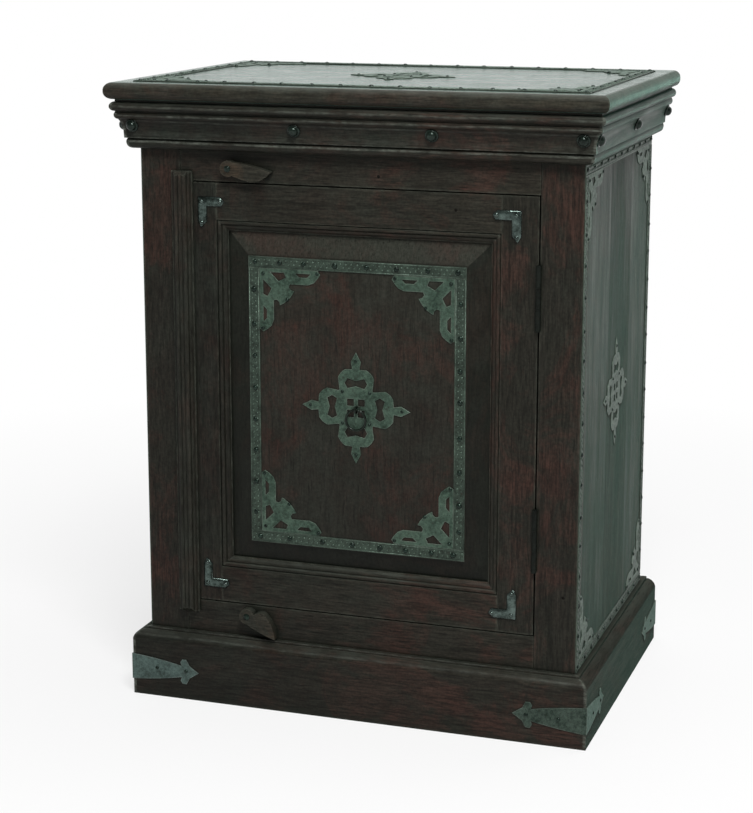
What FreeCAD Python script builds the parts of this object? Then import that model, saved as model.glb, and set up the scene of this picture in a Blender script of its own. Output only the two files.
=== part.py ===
"""Storage side table: a dark hardwood cabinet with one framed door, moulded cornice and plinth,
and pierced iron fittings.

Millimetres. +Z is up, the door faces -Y, and the origin is on the floor in the middle of the table.
"""

import FreeCAD, Part

import math
import os

import Sketcher
from FreeCAD import Placement, Rotation, Vector

document = FreeCAD.newDocument("storage_side_table")


# ---------------------------------------------------------------- driving dimensions

DIMENSIONS = {
    "body_width": (541, "outside width of the carcass"),
    "body_depth": (372, "outside depth of the carcass"),
    "top_level": (762, "floor to the top face"),
    "top_thickness": (20, "thickness of the top board"),
    "top_overhang": (33, "how far the top stands out past the front and the sides"),
    "back_overhang": (12, "how far the top stands out past the back"),
    "top_rounding": (9, "rounding of the top board's edges"),
    "board": (20, "thickness of the side boards"),
    "frame_thickness": (22, "thickness of the face frame"),
    "stile_width": (50, "width of a face frame stile"),
    "opening_low": (125.8, "lower edge of the door opening"),
    "opening_high": (646.4, "upper edge of the door opening"),
    "rail_low": (30, "lower edge of the bottom rail, hidden by the plinth"),
    "tenon_length": (20, "length of a frame tenon"),
    "tenon_shoulder": (8, "step from a rail's edge to its tenon"),
    "back_thickness": (12, "thickness of the back boards"),
    "back_boards": (4, "number of boards in the back"),
    "inner_board": (18, "thickness of the bottom and the shelf"),
    "floor_level": (118, "top face of the cabinet floor"),
    "shelf_level": (398, "top face of the shelf"),
    "shelf_setback": (14, "gap from the face frame to the shelf"),
    "cleat": (18, "side of a square cleat"),
    "cornice_low": (683.4, "underside of the cornice"),
    "plinth_height": (85.4, "floor to the plinth's upper edge"),
    "plinth_overhang": (18.5, "how far the plinth stands out past the carcass"),
    "stud_radius": (8, "radius of a cornice stud's head"),
    "stud_height": (6.6, "height of a cornice stud's head"),
    "strap_length": (88.7, "leg of a plinth strap"),
    "strap_level": (36, "middle of a plinth strap above the floor"),
    "strap_iron": (1.2, "thickness of a plinth strap"),
    "sheet_iron": (1, "thickness of the thin iron fittings"),
    "strip_width": (13.5, "width of the nailed border strips"),
    "plate_leg": (77, "leg of a pierced corner plate"),
    "cross_reach": (67.6, "middle to tip of a pierced cross plate"),
    "door_gap": (1.5, "gap round the door"),
    "door_thickness": (22, "thickness of the door frame"),
    "door_flat": (44, "plain width of a door frame member"),
    "sticking": (13, "width of the moulding on its inner edge"),
    "groove_front": (9, "door face to the panel groove"),
    "groove_width": (6, "width of the panel groove"),
    "groove_depth": (8, "depth of the panel groove"),
    "field_half_width": (134.5, "half the width of the panel's raised field"),
    "field_low": (208.8, "lower edge of the raised field"),
    "field_high": (559.9, "upper edge of the raised field"),
    "astragal_width": (27, "width of the meeting strip"),
    "astragal_low": (111.3, "lower end of the meeting strip"),
    "astragal_high": (657.8, "upper end of the meeting strip"),
    "hinge_length": (76, "length of a butt hinge"),
    "hinge_upper": (491, "lower end of the upper hinge"),
    "hinge_lower": (205, "lower end of the lower hinge"),
    "hinge_leaf": (16, "how far a leaf reaches behind the door's face"),
    "leaf_thickness": (1.5, "thickness of a hinge leaf"),
    "knuckle_radius": (3, "outer radius of the hinge knuckles"),
    "knuckle_gap": (0.3, "gap between two knuckles"),
    "hinge_standoff": (3.2, "hinge axis in front of the door's face"),
    "pin_radius": (1.25, "radius of a hinge pin"),
    "running_gap": (0.05, "radial clearance of a pin in its hole"),
    "bracket_leg": (37, "upright leg of a door corner bracket"),
    "bracket_inset": (20.6, "door edge to bracket, across"),
    "bracket_rise": (17, "door edge to bracket, up or down"),
    "bracket_iron": (1.6, "thickness of a corner bracket"),
    "ring_radius": (12.25, "middle radius of the pull ring"),
    "ring_wire": (1.5, "wire radius of the pull ring"),
    "staple_bar": (2.4, "side of the staple's square bar"),
    "staple_gap": (3.7, "clear height between the staple's legs"),
    "staple_x": (1.2, "how far the ring hangs right of the door's middle"),
    "staple_level": (383, "middle of the staple above the floor"),
    "staple_reach": (4.5, "frame face to the middle of the staple's bend"),
    "button_thickness": (11, "thickness of a turn-button"),
    "button_head": (9.6, "radius of a turn-button's head"),
    "button_gap": (0.1, "clearance behind and in front of a turn-button"),
    "nail_radius": (2, "shank radius of a turn-button's nail"),
    "nail_bite": (14, "how deep the nail is driven into the frame"),
}


class Size:
    """A length that knows its value and the spreadsheet formula that gives it."""

    def __init__(self, value, formula):
        self.value = value
        self.formula = formula

    def __add__(self, other):
        return Size(self.value + size(other).value, f"({self.formula} + {size(other).formula})")

    def __sub__(self, other):
        return Size(self.value - size(other).value, f"({self.formula} - {size(other).formula})")

    def __mul__(self, other):
        return Size(self.value * size(other).value, f"({self.formula} * {size(other).formula})")

    def __truediv__(self, other):
        return Size(self.value / size(other).value, f"({self.formula} / {size(other).formula})")

    def __radd__(self, other):
        return size(other) + self

    def __rsub__(self, other):
        return size(other) - self

    def __rmul__(self, other):
        return size(other) * self

    def __neg__(self):
        return Size(-self.value, f"(-{self.formula})")


def size(number):
    """A plain number as a Size."""
    if isinstance(number, Size):
        return number
    return Size(float(number), f"({number:.4f})")


class Dimensions:
    """The spreadsheet's cells by name."""


dim = Dimensions()
sheet = document.addObject("Spreadsheet::Sheet", "Dims")
for row, (alias, (number, meaning)) in enumerate(DIMENSIONS.items(), start=1):
    sheet.set(f"A{row}", meaning)
    sheet.set(f"B{row}", str(number))
    sheet.setAlias(f"B{row}", alias)
    setattr(dim, alias, Size(number, f"Dims.{alias}"))
document.recompute()

half_width = dim.body_width / 2
front = (dim.top_overhang - dim.body_depth - dim.plinth_overhang - dim.strap_iron) / 2
back = front + dim.body_depth
middle_depth = front + dim.body_depth / 2
under_top = dim.top_level - dim.top_thickness
opening_width = dim.body_width - 2 * dim.stile_width
door_half = opening_width / 2 - dim.door_gap
door_low = dim.opening_low + dim.door_gap
door_high = dim.opening_high - dim.door_gap
door_height = door_high - door_low
member_width = dim.door_flat + dim.sticking
field_middle = (dim.field_low + dim.field_high) / 2
field_half_height = (dim.field_high - dim.field_low) / 2
hinge_x = opening_width / 2 - dim.door_gap / 2
hinge_y = front - dim.hinge_standoff

ACROSS = Vector(1, 0, 0)
INWARD = Vector(0, 1, 0)
UP = Vector(0, 0, 1)

# How far a cut runs past the wood that it is made in.
PAST = 1


# ---------------------------------------------------------------- drawing and building helpers

def bind(thing, path, length):
    """Drive one property of an object from the spreadsheet."""
    thing.setExpression(path, size(length).formula)


def new_body(label):
    body = document.addObject("PartDesign::Body", label)
    body.Label = label
    return body


def sketch_on(body, plane, offset=0):
    """A sketch on one of the body's own planes, moved along the plane's normal by the offset.

    XY looks down on the piece. XZ looks at its front, with its normal towards -Y. YZ looks at its end.
    """
    sketch = body.newObject("Sketcher::SketchObject", "Sketch")
    planes = [feature for feature in body.Origin.OriginFeatures if feature.Role == plane + "_Plane"]
    sketch.AttachmentSupport = [(planes[0], "")]
    sketch.MapMode = "FlatFace"
    bind(sketch, "AttachmentOffset.Base.z", offset)
    return sketch


def fix_point(sketch, edge, end, x, y):
    """Hold one end of an edge at (x, y), both from the spreadsheet."""
    for kind, length in (("DistanceX", size(x)), ("DistanceY", size(y))):
        index = sketch.addConstraint(Sketcher.Constraint(kind, -1, 1, edge, end, length.value))
        bind(sketch, f"Constraints[{index}]", length)


def arc_between(start, end, turn):
    """The arc from start to end that turns left by turn degrees, or right if it is negative."""
    chord = end - start
    angle = math.radians(abs(turn))
    radius = chord.Length / (2 * math.sin(angle / 2))
    left = Vector(-chord.y, chord.x, 0).normalize()
    side = math.copysign(1, turn)
    centre = (start + end) / 2 + left * (side * radius * math.cos(angle / 2))
    first, last = (start, end) if turn > 0 else (end, start)
    first_angle = math.atan2(first.y - centre.y, first.x - centre.x)
    last_angle = math.atan2(last.y - centre.y, last.x - centre.x)
    return Part.ArcOfCircle(Part.Circle(centre, UP, radius), first_angle, last_angle)


def draw_loop(sketch, corners):
    """A closed loop through the corners, each (x, y) or (x, y, turn).

    With a turn, the edge that leaves the corner is an arc that turns left by so many degrees, or right
    if the turn is negative.
    """
    points = [Vector(size(corner[0]).value, size(corner[1]).value, 0) for corner in corners]
    turns = [corner[2] if len(corner) > 2 else 0 for corner in corners]
    first = sketch.GeometryCount
    edges = []
    for index, (point, turn) in enumerate(zip(points, turns)):
        following = points[(index + 1) % len(points)]
        if turn:
            edges.append(arc_between(point, following, turn))
        else:
            edges.append(Part.LineSegment(point, following))
    sketch.addGeometry(edges, False)
    starts = [2 if turn < 0 else 1 for turn in turns]
    joints = []
    for index, start in enumerate(starts):
        following = (index + 1) % len(starts)
        joint = ("Coincident", first + index, 3 - start, first + following, starts[following])
        joints.append(Sketcher.Constraint(*joint))
        if turns[index]:
            angle = math.radians(abs(turns[index]))
            joints.append(Sketcher.Constraint("Angle", first + index, angle))
    sketch.addConstraint(joints)
    for index, corner in enumerate(corners):
        fix_point(sketch, first + index, starts[index], corner[0], corner[1])


def draw_rectangle(sketch, left, low, right, high):
    draw_loop(sketch, [(left, low), (right, low), (right, high), (left, high)])


def draw_polygon(sketch, sides, radius):
    """A regular polygon about the sketch's origin, sized across its corners."""
    angles = [2 * math.pi * side / sides for side in range(sides)]
    draw_loop(sketch, [(radius * math.cos(angle), radius * math.sin(angle)) for angle in angles])


def draw_circle(sketch, x, y, radius):
    centre = Vector(size(x).value, size(y).value, 0)
    index = sketch.addGeometry(Part.Circle(centre, UP, size(radius).value), False)
    fix_point(sketch, index, 3, x, y)
    rule = sketch.addConstraint(Sketcher.Constraint("Radius", index, size(radius).value))
    bind(sketch, f"Constraints[{rule}]", radius)


def pad(body, sketch, length):
    """Raise the sketch along its normal."""
    feature = body.newObject("PartDesign::Pad", "Pad")
    feature.Profile = sketch
    bind(feature, "Length", length)
    return feature


def faceted_head(body, plane, start, radius, height):
    """A head hammered to eight facets, which slope from a low skirt to a flat crown. It stands on the
    XY or XZ plane, the start above it."""
    outward = UP if plane == "XY" else -INWARD
    section = sketch_on(body, plane, start)
    draw_polygon(section, 8, radius)
    block = pad(body, section, height)
    document.recompute()
    faces = block.Shape.Faces
    crown = max(range(len(faces)), key=lambda index: faces[index].CenterOfMass.dot(outward))
    facets = body.newObject("PartDesign::Chamfer", "Chamfer")
    facets.Base = (block, [f"Face{crown + 1}"])
    facets.ChamferType = "Two distances"
    bind(facets, "Size", height * 0.66)
    bind(facets, "Size2", radius * 0.5)


def pocket(body, sketch, depth=None, along_normal=False):
    """Sink the sketch against its normal, or along it, or right through if no depth is given."""
    feature = body.newObject("PartDesign::Pocket", "Pocket")
    feature.Profile = sketch
    if depth is None:
        feature.SideType = "Symmetric"
        feature.Type = "ThroughAll"
        return feature
    feature.Reversed = along_normal
    bind(feature, "Length", depth)
    return feature


def revolve(body, sketch, axis, degrees=360):
    """Turn the sketch about one of its own axes, H_Axis or V_Axis."""
    feature = body.newObject("PartDesign::Revolution", "Revolution")
    feature.Profile = sketch
    feature.ReferenceAxis = (sketch, [axis])
    feature.Angle = degrees
    return feature


def place(thing, x, y, z, rotation=Rotation()):
    """Put a piece where it belongs, its position driven by the spreadsheet."""
    thing.Placement = Placement(Vector(0, 0, 0), rotation)
    for axis, length in (("x", x), ("y", y), ("z", z)):
        bind(thing, f"Placement.Base.{axis}", length)
    return thing


def board(label, width, depth, height, x, y, z):
    """A plain rectangular board with its low left front corner at (x, y, z)."""
    body = new_body(label)
    sketch = sketch_on(body, "XY")
    draw_rectangle(sketch, 0, 0, width, depth)
    pad(body, sketch, height)
    return place(body, x, y, z)


def mirrored(source, normal, x=0, y=0, z=0):
    """A mirror image of a piece in the plane through (x, y, z)."""
    image = document.addObject("Part::Mirroring", source.Label + "_mirrored")
    image.Source = source
    image.Normal = normal
    for axis, length in (("x", x), ("y", y), ("z", z)):
        bind(image, f"Base.{axis}", length)
    return image


def group(label, pieces):
    """Several loose pieces of one kind that share a name."""
    compound = document.addObject("Part::Compound", label)
    compound.Label = label
    compound.Links = pieces
    return compound


def with_mirror(label, source, normal, x=0, y=0, z=0):
    return group(label, [source, mirrored(source, normal, x, y, z)])


def at_four_corners(label, source, first_normal, second_normal, x=0, y=0, z=0):
    """One piece at a corner and its images at the other three corners of a rectangle."""
    beside = mirrored(source, first_normal, x, y, z)
    above = mirrored(source, second_normal, x, y, z)
    across = mirrored(beside, second_normal, x, y, z)
    return group(label, [source, beside, above, across])


# Which way a fitting drawn on its XZ plane faces once it is turned.
FACING_FRONT = Rotation()
FACING_RIGHT = Rotation(UP, 90)
FACING_UP = Rotation(ACROSS, -90)


# ---------------------------------------------------------------- carcass

def side_panel(label, x):
    depth = dim.body_depth - dim.frame_thickness
    return board(label, dim.board, depth, under_top, x, front + dim.frame_thickness, 0)


def face_stile(label, x, inner_edge, direction, with_hinges):
    """An upright of the face frame, mortised for both rails. Direction points from its inner edge
    into its wood."""
    mortise_end = inner_edge + direction * (dim.tenon_length + PAST)
    left, right = sorted((inner_edge, mortise_end), key=lambda edge: edge.value)
    body = new_body(label)
    sketch = sketch_on(body, "XY")
    draw_rectangle(sketch, 0, 0, dim.stile_width, dim.frame_thickness)
    pad(body, sketch, under_top)
    third = dim.frame_thickness / 3
    for low, high in ((dim.rail_low, dim.opening_low), (dim.opening_high, under_top)):
        mortise = sketch_on(body, "XY", low + dim.tenon_shoulder)
        draw_rectangle(mortise, left, third, right, 2 * third)
        pocket(body, mortise, high - low - 2 * dim.tenon_shoulder, along_normal=True)
    if with_hinges:
        for low in (dim.hinge_lower, dim.hinge_upper):
            recess = sketch_on(body, "XY", low)
            draw_rectangle(recess, 0, 0, dim.leaf_thickness, dim.hinge_leaf)
            pocket(body, recess, dim.hinge_length, along_normal=True)
    return place(body, x, front, 0)


def face_rail(label, low, high):
    """A crosspiece of the face frame with a tenon on each end."""
    body = new_body(label)
    sketch = sketch_on(body, "XY")
    draw_rectangle(sketch, 0, 0, opening_width, dim.frame_thickness)
    pad(body, sketch, high - low)
    tenon = sketch_on(body, "XY", dim.tenon_shoulder)
    third = dim.frame_thickness / 3
    draw_rectangle(tenon, -dim.tenon_length, third, opening_width + dim.tenon_length, 2 * third)
    pad(body, tenon, high - low - 2 * dim.tenon_shoulder)
    return place(body, -opening_width / 2, front, low)


def back_panel():
    """The back: one glued-up panel with a V-groove at each board joint."""
    width = dim.body_width - 2 * dim.board
    body = new_body("back_panel")
    sketch = sketch_on(body, "XY")
    draw_rectangle(sketch, 0, 0, width, dim.back_thickness)
    pad(body, sketch, under_top)
    groove = sketch_on(body, "XY")
    groove_depth = 2
    spread = groove_depth + PAST
    outer = dim.back_thickness + PAST
    for joint in range(1, DIMENSIONS["back_boards"][0]):
        x = width * joint / dim.back_boards
        draw_loop(groove, [(x, outer - spread), (x + spread, outer), (x - spread, outer)])
    pocket(body, groove)
    return place(body, -width / 2, back - dim.back_thickness, 0)


def inner_shelf(label, level, setback):
    """A horizontal board between the sides, with its top face at the level."""
    width = dim.body_width - 2 * dim.board
    start = front + dim.frame_thickness + setback
    depth = back - dim.back_thickness - start
    return board(label, width, depth, dim.inner_board, -width / 2, start, level - dim.inner_board)


def cleats(label, top_face):
    """A square batten on each side board, with its top face at the level."""
    start = front + dim.frame_thickness + dim.shelf_setback
    length = back - dim.back_thickness - start
    x = half_width - dim.board - dim.cleat
    right = board(label + "_right", dim.cleat, length, dim.cleat, x, start, top_face - dim.cleat)
    return with_mirror(label, right, ACROSS)


def top_board():
    """The top: a board with a full rounded edge on the front and the ends and a square back."""
    overall_width = dim.body_width + 2 * dim.top_overhang
    overall_depth = dim.body_depth + dim.top_overhang + dim.back_overhang
    body = new_body("top_board")
    sketch = sketch_on(body, "XY")
    draw_rectangle(sketch, 0, 0, overall_width, overall_depth)
    slab = pad(body, sketch, dim.top_thickness)
    document.recompute()
    rounded = []
    for index, edge in enumerate(slab.Shape.Edges, start=1):
        box = edge.BoundBox
        level_edge = box.ZLength < 0.001
        back_edge = box.YMin > overall_depth.value - 0.001
        if level_edge and not back_edge:
            rounded.append(f"Edge{index}")
    fillet = body.newObject("PartDesign::Fillet", "Fillet")
    fillet.Base = (slab, rounded)
    bind(fillet, "Radius", dim.top_rounding)
    return place(body, -overall_width / 2, front - dim.top_overhang, under_top)


# ---------------------------------------------------------------- cornice and plinth

def cornice_profile():
    """Section of the cornice, from the carcass outwards and from its underside up: a half round,
    a fillet, a hollow for the studs and two beads under the top."""
    return [
        (0, 0),
        (7.5, 0, 75),
        (13, 6, 60),
        (11.8, 12),
        (15, 12.6),
        (15.4, 19.6, -32),
        (20, 35),
        (20.4, 35, 110),
        (22.6, 43.6),
        (22.6, 44.6, 175),
        (22.6, 56),
        (22.6, under_top - dim.cornice_low),
        (0, under_top - dim.cornice_low),
    ]


def plinth_profile():
    """Section of the plinth: a flat face, a rounded shoulder, a quirk and a narrow ledge."""
    out = dim.plinth_overhang
    high = dim.plinth_height
    return [
        (0, 0),
        (out, 0),
        (out, high - 13, 70),
        (out * 0.4, high - 2.4),
        (out * 0.36, high - 3.4),
        (out * 0.33, high),
        (0, high),
    ]


def moulding(label, profile, length, x, y, z, degrees, start_mitred=True, end_mitred=True):
    """A length of moulding whose back lies on the carcass, mitred or cut square at each end. Its
    inner edge has the given length."""
    reach = 35
    far = reach + PAST
    body = new_body(label)
    section = sketch_on(body, "YZ", -reach if start_mitred else 0)
    draw_loop(section, profile)
    pad(body, section, length + (start_mitred + end_mitred) * reach)
    mitres = sketch_on(body, "XY")
    if start_mitred:
        draw_loop(mitres, [(-far, -PAST), (PAST, -PAST), (-far, far)])
    if end_mitred:
        draw_loop(mitres, [(length - PAST, -PAST), (length + far, -PAST), (length + far, far)])
    pocket(body, mitres)
    return place(body, x, y, z, Rotation(UP, degrees))


def mouldings_round(name, profile, level, height, back_board):
    """Mouldings on the front and the sides, and a plain board across the back between the ends of
    the side ones."""
    run = dim.body_depth + back_board
    width = dim.body_width
    return [
        moulding(name + "_front", profile, width, half_width, front, level, 180),
        moulding(name + "_right", profile, run, half_width, front + run, level, -90, start_mitred=False),
        moulding(name + "_left", profile, run, -half_width, front, level, 90, end_mitred=False),
        board(name + "_back", width, back_board, height, -half_width, back, level),
    ]


# Where the studs sit along the front, and how far behind the front along each side, as the smith
# spaced them. Each leans down with the hollow that it is driven into.
FRONT_STUDS = (-274, -69.5, 97, 272)
SIDE_STUDS = (-7.5, 193, 379.5)
STUD_LEVEL = 27.6
STUD_OUT = 17.3
STUD_LEAN = 16


def stud(x, y, z, axis):
    """One stud: a square shank under a faceted head."""
    shank_length = 7
    shank_half = 1.6
    body = new_body("stud")
    faceted_head(body, "XY", 0, dim.stud_radius, dim.stud_height)
    shank = sketch_on(body, "XY", -shank_length)
    draw_polygon(shank, 4, shank_half)
    pad(body, shank, shank_length)
    return place(body, x, y, z, Rotation(UP, axis))


def cornice_studs():
    """Big iron studs driven into the hollow of the cornice on the front and the sides."""
    lean = math.radians(STUD_LEAN)
    outward = math.cos(lean)
    down = -math.sin(lean)
    level = dim.cornice_low + STUD_LEVEL
    studs = [stud(x, front - STUD_OUT, level, Vector(0, -outward, down)) for x in FRONT_STUDS]
    for distance in SIDE_STUDS:
        y = front + distance
        studs.append(stud(half_width + STUD_OUT, y, level, Vector(outward, 0, down)))
        studs.append(stud(-half_width - STUD_OUT, y, level, Vector(-outward, 0, down)))
    return group("cornice_studs", studs)


def strap_leg(flip):
    """Outline of one leg of a plinth strap: it narrows in a long hollow curve to a neck and ends in
    an arrowhead with two round barbs. A flip of -1 draws it towards negative x."""
    unit = dim.strap_length / DIMENSIONS["strap_length"][0]
    lap = -DIMENSIONS["strap_iron"][0]
    neck = (66, -7.3)
    barb = [(64.4, -12), (67, -15.8), (72.4, -15.8), (76.5, -8)]
    lower = [(lap, -16.5, 8), neck, *barb]
    upper = [(along, -across) for along, across in reversed(barb)]
    upper += [(neck[0], -neck[1], 8), (lap, 16.5)]
    corners = []
    for along, across, *turn in lower + [(88.7, 0)] + upper:
        corners.append((unit * flip * along, unit * across, *[flip * degrees for degrees in turn]))
    return corners


def plinth_strap(label, x, y, degrees):
    """An iron strap bent round a corner of the plinth, nailed flat on both faces."""
    body = new_body(label)
    front_leg = sketch_on(body, "XZ")
    draw_loop(front_leg, strap_leg(-1))
    pad(body, front_leg, dim.strap_iron)
    side_leg = sketch_on(body, "YZ")
    draw_loop(side_leg, strap_leg(1))
    pad(body, side_leg, dim.strap_iron)
    return place(body, x, y, dim.strap_level, Rotation(UP, degrees))


def plinth_straps():
    x = half_width + dim.plinth_overhang
    near = front - dim.plinth_overhang
    far = back + dim.plinth_overhang
    return [
        plinth_strap("plinth_strap_front_right", x, near, 0),
        plinth_strap("plinth_strap_back_right", x, far, 90),
        plinth_strap("plinth_strap_back_left", -x, far, 180),
        plinth_strap("plinth_strap_front_left", -x, near, 270),
    ]


# ---------------------------------------------------------------- pierced iron fittings

def scaled(corners, unit):
    """The corners of a loop times a unit length."""
    return [(unit * corner[0], unit * corner[1], *corner[2:]) for corner in corners]


def over_diagonal(loop):
    """The image of a loop in the diagonal through its origin."""
    edges = loop[-1:] + loop[:-1]
    return [(corner[1], corner[0], *edge[2:]) for edge, corner in zip(reversed(edges), reversed(loop))]


def corner_plate(label, x, y, z, rotation):
    """A pierced plate for a low left corner: two arms along the edges with a D-shaped eye in each,
    and a broad leaf along the diagonal between them."""
    unit = dim.plate_leg / DIMENSIONS["plate_leg"][0]
    half = [(0, 0), (73.5, 0), (76.8, 5), (73.5, 10.2), (69, 15.4), (62, 18.3), (38.5, 18.3), (37.4, 22),
            (40, 25.2), (44.2, 26.1, 40)]
    slot = [(14.2, 5), (31.4, 5), (33.6, 10.4), (24.4, 15.2)]
    eye = [(45.6, 5), (64.6, 5), (60.4, 9.2), (49.8, 9.2)]
    body = new_body(label)
    sketch = sketch_on(body, "XZ")
    draw_loop(sketch, scaled(half + over_diagonal(half)[:-1], unit))
    for opening in (slot, eye):
        draw_loop(sketch, scaled(opening, unit))
        draw_loop(sketch, scaled(over_diagonal(opening), unit))
    pad(body, sketch, dim.sheet_iron)
    return place(body, x, y, z, rotation)


def cross_plate(label, x, y, z, rotation):
    """A pierced cross: four arched lobes round a square, each with a bow-tie opening and a leaf tip."""
    unit = dim.cross_reach / DIMENSIONS["cross_reach"][0]
    core = 21.3 * unit
    bar = 2.6
    hole = 8.4
    body = new_body(label)
    square = sketch_on(body, "XZ")
    draw_rectangle(square, -core, -core, core, core)
    for left in (-bar - hole, bar):
        for low in (-bar - hole, bar):
            opening = [(left, low), (left + hole, low), (left + hole, low + hole), (left, low + hole)]
            draw_loop(square, scaled(opening, unit))
    pad(body, square, dim.sheet_iron)
    lobe = sketch_on(body, "XZ")
    outline = [(-20, 17), (20, 17), (22.5, 36, 42), (13.5, 46.4), (4.6, 47), (6.2, 56), (0, 67.6),
               (-6.2, 56), (-4.6, 47), (-13.5, 46.4, 42), (-22.5, 36)]
    bow_tie = [(-10.5, 23.8), (0, 26.8), (10.5, 23.8), (14, 29.8), (10.5, 35.8), (0, 32.8),
               (-10.5, 35.8), (-14, 29.8)]
    draw_loop(lobe, scaled(outline, unit))
    draw_loop(lobe, scaled(bow_tie, unit))
    arm = pad(body, lobe, dim.sheet_iron)
    pattern = body.newObject("PartDesign::PolarPattern", "PolarPattern")
    pattern.Originals = [arm]
    pattern.Axis = (square, ["N_Axis"])
    pattern.Angle = 360
    pattern.Occurrences = 4
    body.Tip = pattern
    return place(body, x, y, z, rotation)


def border(label, half_span, half_rise, x, y, z, rotation):
    """Four nailed strips that frame a rectangle. The middle of the rectangle is at (x, y, z)."""
    inner_span = half_span - dim.strip_width
    inner_rise = half_rise - dim.strip_width
    edges = [
        (-half_span, -half_rise, half_span, -inner_rise),
        (-half_span, inner_rise, half_span, half_rise),
        (-half_span, -inner_rise, -inner_span, inner_rise),
        (inner_span, -inner_rise, half_span, inner_rise),
    ]
    strips = []
    for left, low, right, high in edges:
        strip = new_body(label + "_strip")
        sketch = sketch_on(strip, "XZ")
        draw_rectangle(sketch, left, low, right, high)
        pad(strip, sketch, dim.sheet_iron)
        strips.append(place(strip, x, y, z, rotation))
    return group(label, strips)


def side_fittings():
    """Border, corner plates and cross plate of the right side, and their images on the left."""
    margin = 0.5
    low = dim.plinth_height + margin
    high = dim.cornice_low - margin
    middle = (low + high) / 2
    half_rise = (high - low) / 2
    half_span = dim.body_depth / 2 - margin
    near = middle_depth - half_span + dim.strip_width
    bottom = middle - half_rise + dim.strip_width
    centre = (half_width, middle_depth, middle)
    frame = border("side_border_right", half_span, half_rise, *centre, FACING_RIGHT)
    plate = corner_plate("side_corner_plate", half_width, near, bottom, FACING_RIGHT)
    corners = at_four_corners("side_corner_plates_right", plate, INWARD, UP, y=middle_depth, z=middle)
    cross = cross_plate("side_cross_plate_right", *centre, FACING_RIGHT)
    right = [frame, corners, cross]
    left = []
    for fitting in right:
        image = mirrored(fitting, ACROSS)
        image.Label = fitting.Label.replace("right", "left")
        left.append(image)
    return right + left


def top_fittings():
    """Border, corner plates and cross plate of the top."""
    inset = 27
    middle = (front - dim.top_overhang + back + dim.back_overhang) / 2
    half_span = half_width + dim.top_overhang - inset
    half_rise = back + dim.back_overhang - inset - middle
    left = -half_span + dim.strip_width
    near = middle - half_rise + dim.strip_width
    level = dim.top_level
    frame = border("top_border", half_span, half_rise, 0, middle, level, FACING_UP)
    plate = corner_plate("top_corner_plate", left, near, level, FACING_UP)
    corners = at_four_corners("top_corner_plates", plate, ACROSS, INWARD, y=middle)
    cross = cross_plate("top_cross_plate", 0, middle, level, FACING_UP)
    return [frame, corners, cross]


# ---------------------------------------------------------------- door

# How far the raised field lies behind the door's face, the step at its edge above the bevel, and the
# room that the panel has to swell in its groove.
FIELD_SETBACK = 0.5
FIELD_STEP = 1.2
PANEL_PLAY = 1


def member_section():
    """Section of a door frame member, from its outer edge to its moulded and grooved inner edge:
    a bead, a quirk and a quarter round that falls to the panel."""
    flat = dim.door_flat
    edge = member_width
    thick = dim.door_thickness
    groove_back = dim.groove_front + dim.groove_width
    return [
        (0, 0),
        (flat, 0),
        (flat + 0.4, 1.8),
        (flat + 0.6, 1.8, 130),
        (flat + 5.6, 1.8),
        (flat + 5.8, 3),
        (flat + 7, 2.6, 60),
        (edge - 1.2, 6.2),
        (edge, 6.6),
        (edge, dim.groove_front),
        (edge - dim.groove_depth, dim.groove_front),
        (edge - dim.groove_depth, groove_back),
        (edge, groove_back),
        (edge, thick),
        (0, thick),
    ]


def door_stile(label, x, z, rotation, hinge_starts):
    """An upright of the door, mortised for both rails, with its moulding mitred at both ends."""
    flat = dim.door_flat
    edge = member_width + PAST
    top = door_height + PAST
    body = new_body(label)
    section = sketch_on(body, "XY")
    draw_loop(section, member_section())
    pad(body, section, door_height)
    mitres = sketch_on(body, "XZ")
    draw_loop(mitres, [(flat, -PAST), (edge, -PAST), (edge, edge), (flat, flat)])
    draw_loop(mitres, [(flat, door_height - flat), (edge, door_height - edge), (edge, top), (flat, top)])
    pocket(body, mitres)
    mortises = sketch_on(body, "XZ", -dim.groove_front)
    shoulder = dim.tenon_shoulder
    inner = flat - dim.tenon_length - PAST
    draw_rectangle(mortises, inner, shoulder, flat, flat - shoulder)
    draw_rectangle(mortises, inner, door_height - flat + shoulder, flat, door_height - shoulder)
    pocket(body, mortises, dim.groove_width)
    for start in hinge_starts:
        recess = sketch_on(body, "XY", start)
        draw_rectangle(recess, 0, 0, dim.leaf_thickness, dim.hinge_leaf)
        pocket(body, recess, dim.hinge_length, along_normal=True)
    return place(body, x, front, z, rotation)


def door_rail(label, x, z, rotation):
    """A crosspiece of the door with a tenon on each end and its moulding mitred."""
    flat = dim.door_flat
    length = 2 * (door_half - flat)
    edge = member_width + PAST
    end = length + PAST
    body = new_body(label)
    section = sketch_on(body, "YZ")
    draw_loop(section, laid_on_its_side(member_section()))
    pad(body, section, length)
    mitres = sketch_on(body, "XZ")
    draw_loop(mitres, [(-PAST, flat), (0, flat), (edge - flat, edge), (-PAST, edge)])
    draw_loop(mitres, [(length, flat), (end, flat), (end, edge), (length - edge + flat, edge)])
    pocket(body, mitres)
    tenon = sketch_on(body, "YZ", -dim.tenon_length)
    groove_back = dim.groove_front + dim.groove_width
    draw_rectangle(tenon, dim.groove_front, dim.tenon_shoulder, groove_back, flat - dim.tenon_shoulder)
    pad(body, tenon, length + 2 * dim.tenon_length)
    return place(body, x, front, z, rotation)


def laid_on_its_side(section):
    """An upright's section as a rail's: its depth runs along y, its width runs up, and its arcs turn
    the other way."""
    return [(depth, width, *[-degrees for degrees in turn]) for width, depth, *turn in section]


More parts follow.
